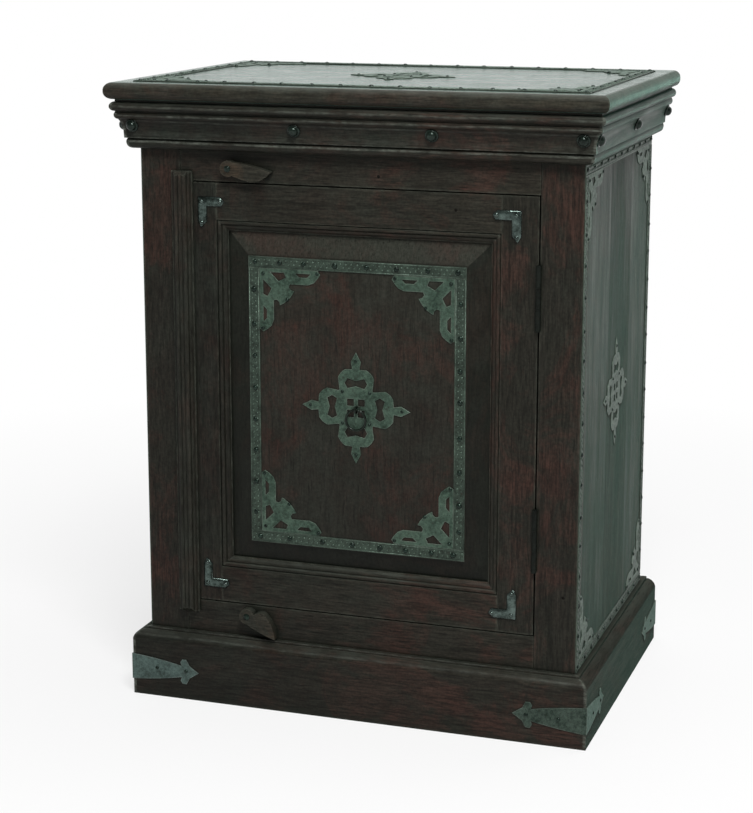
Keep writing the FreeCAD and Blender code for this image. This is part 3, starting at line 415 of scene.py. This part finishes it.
INSIDE = {"dark": (0.03, 0.022, 0.016), "brown": (0.07, 0.05, 0.034), "red": (0.06, 0.035, 0.022)}
BACK_BOARDS = {"dark": (0.016, 0.012, 0.009), "brown": (0.045, 0.032, 0.023), "red": (0.05, 0.026, 0.018)}
BUTTON = {"dark": (0.013, 0.013, 0.010), "brown": (0.034, 0.0315, 0.0235), "red": (0.062, 0.036, 0.021),
          "redness": 0.35, "film": 0.5, "worn": (0.060, 0.056, 0.043), "wear": 0.6}
WOODS = {
    "front_upright": wood("wood_front_upright", "Z", **UPRIGHT),
    "left_stile": wood("wood_left_stile", "Z", brown=(0.0200, 0.0172, 0.0130), film=0.3, wear=0.55),
    "astragal": wood("wood_astragal", "Z", brown=(0.0195, 0.0175, 0.0132), redness=0.3, film=0.5, wear=0.65),
    "front_across": wood("wood_front_across", "X", **ACROSS),
    "cornice_front": wood("wood_cornice_front", "X", **MOULDED),
    "plinth_front": wood("wood_plinth_front", "X", **MOULDED | {"film": 0.3, "redness": 0.55, "dust": 0.3}),
    # The panel: painted light, lighter towards its head, and painted light and shade on its bevels.
    "panel": wood("wood_panel", "Z", brown=(0.0225, 0.0198, 0.015), field=(FIELD_MIDDLE, FIELD_HALF),
                  painted_light_rise=(0.86, 1.12), film=0.5, banding=0.6, grain_depth=0.15),
    "side_upright": wood("wood_side_upright", "Z", **SIDE),
    "cornice_side": wood("wood_cornice_side", "Y", sheen=0.36, crests=CRESTS, **SIDE_TRIM),
    "plinth_side": wood("wood_plinth_side", "Y", sheen=0.09, **SIDE_TRIM),
    "top": wood("wood_top", "X", **TOP_BOARD),
    "inside_across": wood("wood_inside_across", "X", **INSIDE),
    "inside_deep": wood("wood_inside_deep", "Y", **INSIDE),
    "back": wood("wood_back", "Z", **BACK_BOARDS),
    "button": wood("wood_button", "X", **BUTTON),
}


# ---------------------------------------------------------------- iron

RUST = (0.03, 0.022, 0.015)
PIT = (0.008, 0.010, 0.008)
PALER = 1.7


def iron(name, dark, light, rim=None, roughness=0.5, metallic=0.55, specular=0.5, rust=0.6, grain_size=260,
         relief=0.5, sheen=0.0):
    """Old iron: mottled grey-green patina, darker in its pits, a little rust, a pale rubbed rim, and painted
    shade in its corners.
    """
    graph = Graph(name)
    mottle = graph.noise(graph.place([grain_size] * 3), 5.0, 0.65)
    cloud = graph.noise(graph.place([55] * 3), 4.0, 0.6)
    pits = graph.noise(graph.place([900] * 3), 3.0, 0.6)
    palest = tuple(PALER * part for part in light)
    tone = graph.blend(graph.between(cloud, 0.36, 0.62), dark, light)
    tone = graph.blend(graph.between(mottle, 0.42, 0.68, 0.0, 0.6), tone, palest)
    tone = graph.blend(graph.product(graph.between(mottle, 0.4, 0.28), rust), tone, RUST)
    tone = graph.blend(graph.between(pits, 0.44, 0.3, 0.0, 0.8), tone, PIT)
    if rim:
        rubbed = graph.product(graph.edges(1.7 * MM, 0.995, 0.85), graph.between(cloud, 0.38, 0.6, 0.2, 0.9))
        tone = graph.blend(rubbed, tone, rim)
    # Painted shade in the iron's corners, its holes and where it meets the wood.
    tone = graph.blend(graph.product(graph.crevice_shade(3 * MM), 0.75), tone, CREVICE_SHADE)
    gloss = graph.between(mottle, 0.3, 0.7, roughness + 0.14, roughness - 0.1)
    height = graph.total(graph.product(mottle, 0.8), graph.product(pits, 0.4))
    return graph.surface(Base_Color=tone, Metallic=metallic, Roughness=gloss, Specular_IOR_Level=specular,
                         Sheen_Weight=sheen, Sheen_Tint=opaque(HAZE_TINT),
                         Normal=graph.bump(height, relief, 0.3 * MM))


BRIGHT = {"rim": (0.34, 0.38, 0.36), "roughness": 0.2, "metallic": 0.85, "grain_size": 160, "relief": 0.9}
DULL = {"rim": (0.14, 0.16, 0.135), "roughness": 0.66, "metallic": 0.25, "specular": 0.1, "sheen": 0.08}
NAIL_GLOSS = {"roughness": 0.22, "metallic": 0.5, "specular": 0.3, "rust": 0.1}
STUD_GLOSS = {"roughness": 0.2, "metallic": 0.5, "specular": 0.3, "rust": 0.1, "relief": 0.8}
RING_GLOSS = {"roughness": 0.2, "metallic": 0.4, "specular": 0.25, "rust": 0.1}
HINGE_GLOSS = {"roughness": 0.5, "metallic": 0.1, "specular": 0.1}
IRONS = {
    "fittings": iron("iron_fittings", (0.015, 0.034, 0.022), (0.052, 0.088, 0.063), (0.17, 0.20, 0.165)),
    "pale_strap": iron("iron_pale_strap", (0.026, 0.044, 0.038), (0.064, 0.098, 0.088), (0.19, 0.22, 0.20)),
    "dull_strap": iron("iron_dull_strap", (0.0145, 0.0245, 0.0185), (0.048, 0.067, 0.054), **DULL),
    "strip": iron("iron_strip", (0.016, 0.026, 0.018), (0.036, 0.056, 0.041), (0.12, 0.15, 0.12)),
    "rubbed": iron("iron_rubbed", (0.026, 0.042, 0.031), (0.078, 0.116, 0.088), roughness=0.45),
    "bracket": iron("iron_bracket", (0.010, 0.017, 0.014), (0.075, 0.102, 0.092), **BRIGHT),
    "nail": iron("iron_nail", (0.004, 0.008, 0.006), (0.013, 0.026, 0.019), **NAIL_GLOSS),
    "stud": iron("iron_stud", (0.004, 0.0075, 0.0055), (0.014, 0.023, 0.018), **STUD_GLOSS),
    "hinge": iron("iron_hinge", (0.003, 0.004, 0.003), (0.008, 0.010, 0.008), **HINGE_GLOSS),
    "ring": iron("iron_ring", (0.003, 0.0048, 0.0035), (0.010, 0.015, 0.011), **RING_GLOSS),
}


# ---------------------------------------------------------------- finishes of the CAD nodes

FINISHES = {
    WOODS["left_stile"]: ["face_stile_left"],
    WOODS["astragal"]: ["astragal"],
    WOODS["front_upright"]: ["face_stile_right", "door_stile_left", "door_stile_right"],
    WOODS["panel"]: ["door_panel"],
    WOODS["front_across"]: ["face_rail_top", "face_rail_bottom", "door_rail_top", "door_rail_bottom"],
    WOODS["cornice_front"]: ["cornice_front"],
    WOODS["plinth_front"]: ["plinth_front"],
    WOODS["side_upright"]: ["side_panel_left", "side_panel_right"],
    WOODS["cornice_side"]: ["cornice_left", "cornice_right"],
    WOODS["plinth_side"]: ["plinth_left", "plinth_right"],
    WOODS["top"]: ["top_board"],
    WOODS["inside_across"]: ["shelf", "bottom_board"],
    WOODS["inside_deep"]: ["shelf_cleats", "bottom_cleats", "top_cleats"],
    WOODS["back"]: ["back_panel", "cornice_back", "plinth_back"],
    WOODS["button"]: ["turn_button_upper", "turn_button_lower"],
    IRONS["strip"]: ["door_border", "side_border_left", "side_border_right", "top_border"],
    IRONS["fittings"]: ["side_corner_plates_left", "side_corner_plates_right", "side_cross_plate_left",
                        "side_cross_plate_right", "top_corner_plates", "top_cross_plate",
                        "door_corner_plates", "door_cross_plate"],
    IRONS["pale_strap"]: ["plinth_strap_front_left", "plinth_strap_back_left"],
    IRONS["dull_strap"]: ["plinth_strap_front_right", "plinth_strap_back_right"],
    IRONS["bracket"]: ["door_brackets"],
    IRONS["stud"]: ["cornice_studs"],
    IRONS["nail"]: ["button_nails"],
    IRONS["hinge"]: ["hinge_leaf_frame_upper", "hinge_leaf_frame_lower", "hinge_pin_upper", "hinge_pin_lower",
                     "hinge_leaf_door_upper", "hinge_leaf_door_lower"],
    IRONS["ring"]: ["pull_ring", "ring_staple"],
}
# How far wear has rounded the edges of each kind of piece: the width, and the steps round it.
WOOD_EDGE = (0.7 * MM, 2)
IRON_EDGE = (0.45 * MM, 2)
BUTTON_EDGE = (2.4 * MM, 3)
SHARP_ANGLE = math.radians(32)


def soften(thing, width, segments):
    """Round a CAD node's sharp edges, as wear does."""
    weld = thing.modifiers.new("weld", "WELD")
    weld.merge_threshold = 0.01 * MM
    bevel = thing.modifiers.new("worn_edges", "BEVEL")
    bevel.width = width
    bevel.segments = segments
    bevel.limit_method = "ANGLE"
    bevel.angle_limit = SHARP_ANGLE
    flat = thing.modifiers.new("flat_faces", "WEIGHTED_NORMAL")
    flat.weight = 100


def dress_nodes():
    """Give each CAD node its material and its worn edges. The hinges are too fine for those."""
    for material, names in FINISHES.items():
        edge = WOOD_EDGE if material in WOODS.values() else IRON_EDGE
        if material is WOODS["button"]:
            edge = BUTTON_EDGE
        for name in names:
            node = nodes[name]
            node.data.materials.clear()
            node.data.materials.append(material)
            node.data.shade_smooth()
            if material is not IRONS["hinge"]:
                soften(node, *edge)


# ---------------------------------------------------------------- turned and rolled shapes

def facing(outward, lean=0.0, spin=0.0):
    """A rotation that takes +Z to the outward direction, leaning by a small angle."""
    turned = outward.to_track_quat("Z", "Y").to_matrix().to_4x4()
    return turned @ Matrix.Rotation(spin, 4, "Z") @ Matrix.Rotation(lean, 4, "X")


def add_turned(shape, place, outward, profile, sides, lean=0.0, spin=0.0):
    """A closed solid of revolution in the bmesh: profile is (radius, height) from its foot to its tip."""
    turn = Matrix.Translation(place) @ facing(outward, lean, spin)
    rings = []
    for radius, height in profile[:-1]:
        ring = []
        for side in range(sides):
            angle = 2 * math.pi * side / sides
            point = Vector((radius * math.cos(angle), radius * math.sin(angle), height))
            ring.append(shape.verts.new(turn @ point))
        rings.append(ring)
    tip = shape.verts.new(turn @ Vector((0, 0, profile[-1][1])))
    shape.faces.new(rings[0][::-1])
    for lower, upper in zip(rings, rings[1:]):
        for side in range(sides):
            following = (side + 1) % sides
            shape.faces.new((lower[side], lower[following], upper[following], upper[side]))
    for side in range(sides):
        shape.faces.new((rings[-1][side], rings[-1][(side + 1) % sides], tip))


# Half of a ridge's width, its height, and its section in units of the two.
RIDGE_HALF_WIDTH = 0.6 * MM
RIDGE_HEIGHT = 0.45 * MM
RIDGE = [(-1, -0.4), (-0.7, 0.6), (0, 1), (0.7, 0.6), (1, -0.4)]


def add_ridge(shape, start, end, outward):
    """A closed low ridge from start to end, with a rounded back."""
    along = (end - start).normalized()
    beside = outward.cross(along)
    ends = []
    for point in (start, end):
        ends.append([shape.verts.new(point + beside * RIDGE_HALF_WIDTH * across + outward * RIDGE_HEIGHT * up)
                     for across, up in RIDGE])
    for index in range(len(RIDGE)):
        following = (index + 1) % len(RIDGE)
        shape.faces.new((ends[0][index], ends[0][following], ends[1][following], ends[1][index]))
    shape.faces.new(ends[0][::-1])
    shape.faces.new(ends[1])


def finished_piece(name, shape, material, body):
    """An object made of the bmesh, that rides on the body and takes its finish from the slot."""
    bmesh.ops.recalc_face_normals(shape, faces=shape.faces)
    mesh = bpy.data.meshes.new(name)
    shape.to_mesh(mesh)
    shape.free()
    mesh.shade_smooth()
    mesh.materials.append(material)
    piece = bpy.data.objects.new(name, mesh)
    bpy.context.scene.collection.objects.link(piece)
    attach(piece, body)
    return piece


# The head of a small nail, as (radius, height) in units of its radius.
NAIL = [(1.0, -0.3), (1.0, 0.12), (0.86, 0.38), (0.55, 0.58), (0.22, 0.68), (0, 0.7)]
NAIL_SIDES = 10


def add_nail(shape, place, outward, radius):
    """One nail head, a little off its mark and askew, as a hammer leaves it."""
    size = radius * luck.uniform(0.9, 1.1)
    lean = math.radians(luck.uniform(0, 9))
    profile = [(size * across, size * up) for across, up in NAIL]
    add_turned(shape, place, outward, profile, NAIL_SIDES, lean, luck.uniform(0, 2 * math.pi))


class Face:
    """A flat field of the table with its own across and up directions, about the middle of a node."""

    def __init__(self, node, outward):
        lowest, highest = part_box(node)
        self.outward = outward
        self.across = RIGHT if abs(outward.x) < 0.5 else BACK
        self.up = BACK if abs(outward.z) > 0.5 else UP
        self.middle = (lowest + highest) / 2
        half = (highest - lowest) / 2
        self.span = half.dot(self.across)
        self.rise = half.dot(self.up)
        self.middle += outward * abs(half.dot(outward))

    def at(self, across, up, out=0.0):
        """The point that far across and up from the middle, and out from the surface."""
        return self.middle + self.across * across + self.up * up + self.outward * out


# How far a nail may be off its place along a strip, and a stamped dot off its own, in millimetres.
NAIL_WANDER = 1.2
DOT_WANDER = 0.3


def spaced(end, pitch):
    """Even places from -end to end about a pitch apart, each a little off."""
    count = round(2 * end / pitch)
    return [end * (2 * index / count - 1) + luck.uniform(-1, 1) * NAIL_WANDER * MM
            for index in range(count + 1)]


# A border's strips: their width, the margin at their ends, the ridges' and the dots' distance from their
# middle line, and the dots' pitch. A dot's profile is (radius, height) in millimetres.
STRIP = 13.5 * MM
STRIP_MARGIN = 1.2 * MM
RIDGE_OFFSET = 5.7 * MM
DOT_OFFSET = 2.3 * MM
DOT_PITCH = 3.4 * MM
DOT = [(1.45, -0.15), (1.3, 0.4), (0.75, 0.8), (0, 0.9)]
DOT_SIDES = 6


def strips_of(face):
    """The middle lines of a border's four strips: start and end as (across, up)."""
    span = face.span - STRIP / 2
    rise = face.rise - STRIP / 2
    inner_rise = face.rise - STRIP
    return [((-face.span, -rise), (face.span, -rise)), ((-face.span, rise), (face.span, rise)),
            ((-span, -inner_rise), (-span, inner_rise)), ((span, -inner_rise), (span, inner_rise))]


def stamp_border(name, node, outward, body):
    """The relief stamped in a border's strips: a ridge along each edge, and two rows of staggered dots."""
    face = Face(node, outward)
    shape = bmesh.new()
    for first, last in strips_of(face):
        start = face.at(*first)
        end = face.at(*last)
        along = (end - start).normalized()
        beside = outward.cross(along)
        start += along * STRIP_MARGIN
        end -= along * STRIP_MARGIN
        for side in (-RIDGE_OFFSET, RIDGE_OFFSET):
            add_ridge(shape, start + beside * side, end + beside * side, outward)
        run = (end - start).length
        count = int(run / DOT_PITCH)
        for index in range(count):
            side = DOT_OFFSET if index % 2 else -DOT_OFFSET
            place = start + along * (index + 0.5) * run / count + beside * side
            place += along * luck.uniform(-DOT_WANDER, DOT_WANDER) * MM
            place += beside * luck.uniform(-DOT_WANDER, DOT_WANDER) * MM
            size = luck.uniform(0.8, 1.1) * MM
            dot = [(size * radius, size * height) for radius, height in DOT]
            add_turned(shape, place, outward, dot, DOT_SIDES)
    return finished_piece(name, shape, IRONS["rubbed"], body)


# ---------------------------------------------------------------- nails

# Radii of the nail heads. Those of a cross plate are a little smaller than those of its corner plates.
DOOR_NAIL = 3.2 * MM
DOOR_PLATE_NAIL = 2.2 * MM
BRACKET_NAIL = 2.7 * MM
BORDER_NAIL = 2.9 * MM
PLATE_NAIL = 2.3 * MM
STRAP_NAIL = 2.3 * MM
CROSS_NAIL_SHARE = 0.85
# Where the door's border is nailed, in millimetres from its middle: across on the top and bottom strips,
# and up on the left and right ones.
DOOR_TOP = (-126, -95, -65, -26, 13, 50, 88, 124)
DOOR_BOTTOM = (-123, -85, -43, -5, 30, 62, 94, 121)
DOOR_LEFT = (136, 94, 55, 16, -23, -61, -100, -138)
DOOR_RIGHT = (132, 92, 53, 16, -27, -68, -108, -140)
NAIL_PITCH = 37 * MM
# Nails as (across, up) in millimetres: of a corner plate from its corner, of a cross plate from its middle,
# and of a corner bracket from its corner.
PLATE_NAILS = ((4.8, 6.7), (73, 4), (4, 73), (35.3, 36.7))
CROSS_NAILS = ((0, 57), (57, 0), (0, -57), (-57, 0), (17, 19), (-17, 19), (17, -19), (-17, -19))
BRACKET_NAILS = ((5.6, 5.6), (29, 5.4), (5.4, 31))
BRACKET_PROUD = 0.9 * MM
# Nails in a strap's two legs, in millimetres from the plinth's corner.
STRAP_NAILS = (33.75, 73)


def border_nails(shape, face, radius):
    """Nails along the four strips of a border, one in each corner."""
    span = face.span - STRIP / 2
    rise = face.rise - STRIP / 2
    for side in (-1, 1):
        for across in spaced(span, NAIL_PITCH):
            add_nail(shape, face.at(across, side * rise), face.outward, radius)
        for up in spaced(rise, NAIL_PITCH)[1:-1]:
            add_nail(shape, face.at(side * span, up), face.outward, radius)


def plate_nails(shape, face, radius):
    """Nails of the four corner plates inside a border, and of the cross plate in its middle."""
    span = face.span - STRIP
    rise = face.rise - STRIP
    for across_side in (-1, 1):
        for up_side in (-1, 1):
            for across, up in PLATE_NAILS:
                place = face.at(across_side * (span - across * MM), up_side * (rise - up * MM))
                add_nail(shape, place, face.outward, radius)
    for across, up in CROSS_NAILS:
        add_nail(shape, face.at(across * MM, up * MM), face.outward, radius * CROSS_NAIL_SHARE)


def door_nails():
    """Nails of the door's border, which has its own places for them, and of its pierced plates."""
    face = Face("door_border", -BACK)
    shape = bmesh.new()
    span = face.span - STRIP / 2
    rise = face.rise - STRIP / 2
    places = [(across * MM, rise) for across in DOOR_TOP]
    places += [(across * MM, -rise) for across in DOOR_BOTTOM]
    places += [(-span, up * MM) for up in DOOR_LEFT]
    places += [(span, up * MM) for up in DOOR_RIGHT]
    for across, up in places:
        add_nail(shape, face.at(across, up), face.outward, DOOR_NAIL)
    plate_nails(shape, face, DOOR_PLATE_NAIL)
    finished_piece("door_nails", shape, IRONS["nail"], "door")


def bracket_nails():
    """Three bright nails in each corner bracket of the door."""
    face = Face("door_brackets", -BACK)
    shape = bmesh.new()
    for across_side in (-1, 1):
        for up_side in (-1, 1):
            for across, up in BRACKET_NAILS:
                place = face.at(across_side * (face.span - across * MM), up_side * (face.rise - up * MM),
                                BRACKET_PROUD)
                add_nail(shape, place, face.outward, BRACKET_NAIL)
    finished_piece("bracket_nails", shape, IRONS["bracket"], "door")


# A corner bracket's outline from the corner where its arms meet, and the rounding of its edge as
# (inset, height), in millimetres. At its sharpest corners the inset is kept from running away.
BRACKET = ((0, 0), (28, 0), (34, 5), (30.5, 11.3), (11.3, 11.3), (11.3, 29.5), (4, 37), (0, 30))
BRACKET_DOME = ((0, -0.4), (0, 0.9), (0.5, 1.6), (1.4, 2.2), (2.6, 2.6), (4.0, 2.8))
SHARPEST = 0.3


def inset(outline, distance):
    """A closed outline, drawn anticlockwise, moved inwards with its corners kept sharp."""
    moved = []
    for index, corner in enumerate(outline):
        before = (corner - outline[index - 1]).normalized()
        after = (outline[(index + 1) % len(outline)] - corner).normalized()
        inward = (before + after).orthogonal().normalized()
        moved.append(corner + inward * distance / max(inward.dot(before.orthogonal()), SHARPEST))
    return moved


def domed_brackets():
    """The door's corner brackets with rounded backs, in place of the flat ones."""
    face = Face("door_brackets", -BACK)
    shape = bmesh.new()
    outline = [Vector(corner) for corner in BRACKET]
    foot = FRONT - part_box("door_brackets")[0].y
    for across_side in (-1, 1):
        for up_side in (-1, 1):
            loops = []
            for distance, height in BRACKET_DOME:
                loop = []
                for corner in inset(outline, distance):
                    place = face.at(across_side * (face.span - corner.x * MM),
                                    up_side * (face.rise - corner.y * MM), height * MM - foot)
                    loop.append(shape.verts.new(place))
                loops.append(loop)
            shape.faces.new(loops[0])
            shape.faces.new(loops[-1])
            for lower, upper in zip(loops, loops[1:]):
                for index in range(len(lower)):
                    following = (index + 1) % len(lower)
                    shape.faces.new((lower[index], lower[following], upper[following], upper[index]))
    brackets = finished_piece("domed_brackets", shape, IRONS["bracket"], "door")
    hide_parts("door_brackets")


def strap_nails():
    """Two nails in each leg of the four straps round the plinth's corners."""
    shape = bmesh.new()
    for side in ("left", "right"):
        for end in ("front", "back"):
            lowest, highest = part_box(f"plinth_strap_{end}_{side}")
            level = (lowest.z + highest.z) / 2
            sideways = RIGHT if side == "right" else -RIGHT
            endways = BACK if end == "back" else -BACK
            x = highest.x if side == "right" else lowest.x
            y = highest.y if end == "back" else lowest.y
            corner = Vector((x, y, level))
            for distance in STRAP_NAILS:
                drop = UP * luck.uniform(-1.5, 1.5) * MM
                add_nail(shape, corner - sideways * distance * MM + drop, endways, STRAP_NAIL)
                add_nail(shape, corner - endways * distance * MM + drop, sideways, STRAP_NAIL)
    finished_piece("strap_nails", shape, IRONS["nail"], "cabinet")


def field_nails(name, node, outward):
    """Nails of the border, the corner plates and the cross plate on one side or the top."""
    face = Face(node, outward)
    shape = bmesh.new()
    border_nails(shape, face, BORDER_NAIL)
    plate_nails(shape, face, PLATE_NAIL)
    finished_piece(name, shape, IRONS["nail"], "cabinet")


# Stopped nail holes on the front, as (x, z) in millimetres, their profile, and the tones of the wax.
PLUGS = {"cabinet": [(28, 660), (254.5, 177)], "door": [(121, 625.5)]}
PLUG = [(2.0 * MM, -0.4 * MM), (1.9 * MM, 0.05 * MM), (0, 0.08 * MM)]
WAX_DARK = (0.003, 0.003, 0.002)
WAX_LIGHT = (0.012, 0.011, 0.009)


def wood_plugs():
    """A few dark nail holes, stopped with wax, on the front."""
    for body, places in PLUGS.items():
        shape = bmesh.new()
        for x, z in places:
            add_turned(shape, Vector((x * MM, FRONT, z * MM)), -BACK, PLUG, NAIL_SIDES)
        wax = Graph("wax_" + body)
        grains = wax.noise(wax.place([1500] * 3), 3.0)
        tone = wax.blend(grains, WAX_DARK, WAX_LIGHT)
        wax.surface(Base_Color=tone, Roughness=0.8, Specular_IOR_Level=0.05)
        finished_piece(body + "_plugs", shape, wax.material, body)


# ---------------------------------------------------------------- studs and ring

# The cornice studs, in millimetres: their places across the front from its middle and along the sides from
# the front, the height of their feet above the cornice's underside, how far the feet stand out from the
# carcass, and their profile as (radius, height). They look down a little, as the moulding does there.
FRONT_STUDS = (-274, -69.5, 97, 272)
SIDE_STUDS = (-7.5, 193, 379.5)
STUD_LEVEL = 27.6
STUD_OUT = 17.3
STUD_LEAN = math.radians(16)
STUD = [(8, -0.6), (8, 0.5), (7.7, 1.1), (7.0, 1.45), (6.3, 1.5), (6.0, 2.3), (5.5, 3.9), (4.5, 5.2),
        (3.1, 6.1), (1.5, 6.55), (0, 6.65)]
STUD_SIDES = 24


def smooth_studs():
    """Domed studs with a thin collar, in place of the faceted ones."""
    shape = bmesh.new()
    profile = [(radius * MM, height * MM) for radius, height in STUD]
    level = CORNICE_LOW + STUD_LEVEL * MM
    half_width = high("face_stile_right").x
    feet = [(x * MM, FRONT - STUD_OUT * MM, -BACK) for x in FRONT_STUDS]
    for distance in SIDE_STUDS:
        feet.append((half_width + STUD_OUT * MM, FRONT + distance * MM, RIGHT))
        feet.append((-half_width - STUD_OUT * MM, FRONT + distance * MM, -RIGHT))
    for x, y, out in feet:
        outward = out * math.cos(STUD_LEAN) - UP * math.sin(STUD_LEAN)
        lean = math.radians(luck.uniform(0, 3))
        spin = luck.uniform(0, 2 * math.pi)
        add_turned(shape, Vector((x, y, level)), outward, profile, STUD_SIDES, lean, spin)
    studs = finished_piece("smooth_studs", shape, IRONS["stud"], "cabinet")
    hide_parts("cornice_studs")


# The ring's steps around it and round its wire, and how much thinner the forged wire gets in places.
RING_STEPS = 72
WIRE_STEPS = 14
WIRE_THINNING = 0.05


def smooth_ring():
    """The pull ring as forged round wire, slightly uneven, in place of the stepped one."""
    lowest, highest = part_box("pull_ring")
    middle = (lowest + highest) / 2
    wire = (highest.y - lowest.y) / 2
    radius = (highest.x - lowest.x) / 2 - wire
    shape = bmesh.new()
    rings = []
    for step in range(RING_STEPS):
        angle = 2 * math.pi * step / RING_STEPS
        thick = wire * (1 - WIRE_THINNING * (1 + math.sin(3 * angle + 1)) / 2)
        ring = []
        for part in range(WIRE_STEPS):
            turn = 2 * math.pi * part / WIRE_STEPS
            reach = radius + thick * math.cos(turn)
            point = Vector((reach * math.cos(angle), thick * math.sin(turn), reach * math.sin(angle)))
            ring.append(shape.verts.new(middle + point))
        rings.append(ring)
    for step in range(RING_STEPS):
        first = rings[step]
        second = rings[(step + 1) % RING_STEPS]
        for part in range(WIRE_STEPS):
            following = (part + 1) % WIRE_STEPS
            shape.faces.new((first[part], first[following], second[following], second[part]))
    ring = finished_piece("smooth_ring", shape, IRONS["ring"], "ring")
    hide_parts("pull_ring")


dress_nodes()
stamp_border("stamped_door_border", "door_border", -BACK, "door")
stamp_border("stamped_side_border_right", "side_border_right", RIGHT, "cabinet")
stamp_border("stamped_side_border_left", "side_border_left", -RIGHT, "cabinet")
stamp_border("stamped_top_border", "top_border", UP, "cabinet")
door_nails()
domed_brackets()
bracket_nails()
strap_nails()
field_nails("side_nails_right", "side_border_right", RIGHT)
field_nails("side_nails_left", "side_border_left", -RIGHT)
field_nails("top_nails", "top_border", UP)
wood_plugs()
smooth_studs()
smooth_ring()


# ---------------------------------------------------------------- stage, light and camera

WHITE = (1.0, 1.0, 1.0)
PALE = (0.8, 0.8, 0.8)
FLOOR_SIZE = 60
# To the camera the floor is this much plain white at the first distance from the middle, and all of it at
# the second.
NEAR_WHITENESS = 0.72
NEAR = 0.5
FAR = 1.6
# The room's even light and the mirrored image of the room before the table, as shares of the backdrop's
# white, and the faint cast of all that polished things show.
ROOM_LIGHT = 0.22
ROOM_MIRRORED = 0.15
MIRRORED_CAST = (0.95, 1.0, 0.98)


def stage_floor():
    """A pale floor that shows nearly white to the camera and keeps the table's shadow near it."""
    bpy.ops.mesh.primitive_plane_add(size=FLOOR_SIZE, location=(0, 0, 0))
    floor = bpy.context.object
    floor.name = "floor"
    graph = Graph("pale_floor")
    seen = graph.add("LightPath", {})
    direct = graph.math("MAXIMUM", seen.outputs["Is Camera Ray"], seen.outputs["Is Glossy Ray"])
    direct = graph.math("MAXIMUM", direct, seen.outputs["Is Transmission Ray"])
    distance = graph.add("VectorMath", {0: graph.coordinates()}, operation="LENGTH").outputs["Value"]
    whiteness = graph.between(distance, NEAR, FAR, NEAR_WHITENESS, 1.0)
    pale = graph.add("BsdfDiffuse", {"Color": opaque(PALE)}).outputs[0]
    white = graph.add("Emission", {"Color": opaque(WHITE), "Strength": 1.0}).outputs[0]
    mostly_white = graph.add("MixShader", {0: whiteness, 1: pale, 2: white}).outputs[0]
    shown = graph.add("MixShader", {0: direct, 1: pale, 2: mostly_white}).outputs[0]
    graph.add("OutputMaterial", {"Surface": shown})
    floor.data.materials.append(graph.material)


def studio_world():
    """A white backdrop, which polished things show too, and a dim room behind the camera."""
    graph = Graph("studio", "worlds")
    seen = graph.add("LightPath", {}).outputs
    direct = graph.math("MAXIMUM", seen["Is Camera Ray"], seen["Is Transmission Ray"])
    direction = graph.add("TexCoord", {}).outputs["Generated"]
    backdrop = graph.between(graph.part("Y", direction), -0.25, 0.3, ROOM_MIRRORED, 1.0)
    mirrored = graph.product(seen["Is Glossy Ray"], backdrop)
    strength = graph.math("MAXIMUM", graph.math("MAXIMUM", direct, mirrored), ROOM_LIGHT)
    cast = graph.blend(seen["Is Glossy Ray"], WHITE, MIRRORED_CAST)
    shown = graph.add("Background", {"Color": cast, "Strength": strength})
    graph.add("OutputWorld", {"Surface": shown.outputs[0]})
    bpy.context.scene.world = graph.material


def soft_box(name, place, target, size, power):
    """A square area light that points at the target."""
    lamp = bpy.data.lights.new(name, "AREA")
    lamp.shape = "SQUARE"
    lamp.size = size
    lamp.energy = power
    holder = bpy.data.objects.new(name, lamp)
    holder.location = place
    aim = Vector(target) - Vector(place)
    holder.rotation_euler = aim.to_track_quat("-Z", "Y").to_euler()
    bpy.context.scene.collection.objects.link(holder)


# The photograph's view, worked out from the table's corners in it: the film's width and the lens in
# millimetres, the picture's shift, the camera's place to the right of the middle, before the front and
# above the floor, and how far it looks down and to the left, in radians.
FILM_WIDTH = 36.0
LENS = 90.74
PICTURE_SHIFT = -0.0685
CAMERA_RIGHT = 0.77822
CAMERA_BEFORE = 2.22276
CAMERA_HEIGHT = 0.94575
CAMERA_DOWN = 0.206
CAMERA_LEFT = 0.3265


def photo_camera():
    """A camera with the photograph's view."""
    lens = bpy.data.cameras.new("camera")
    lens.sensor_width = FILM_WIDTH
    lens.lens = LENS
    lens.shift_y = PICTURE_SHIFT
    lens.clip_end = 100.0
    camera = bpy.data.objects.new("camera", lens)
    camera.location = (CAMERA_RIGHT, FRONT - CAMERA_BEFORE, CAMERA_HEIGHT)
    camera.rotation_euler = (math.pi / 2 - CAMERA_DOWN, 0.0, CAMERA_LEFT)
    bpy.context.scene.collection.objects.link(camera)
    bpy.context.scene.camera = camera


stage_floor()
studio_world()
soft_box("key_light", place=(0.9, -1.75, 2.9), target=(0, 0, 0.4), size=1.0, power=105)
soft_box("top_light", place=(0.2, 0.5, 2.8), target=(0, 0, 0.6), size=1.4, power=25)
photo_camera()

bpy.context.scene.view_settings.view_transform = "Standard"
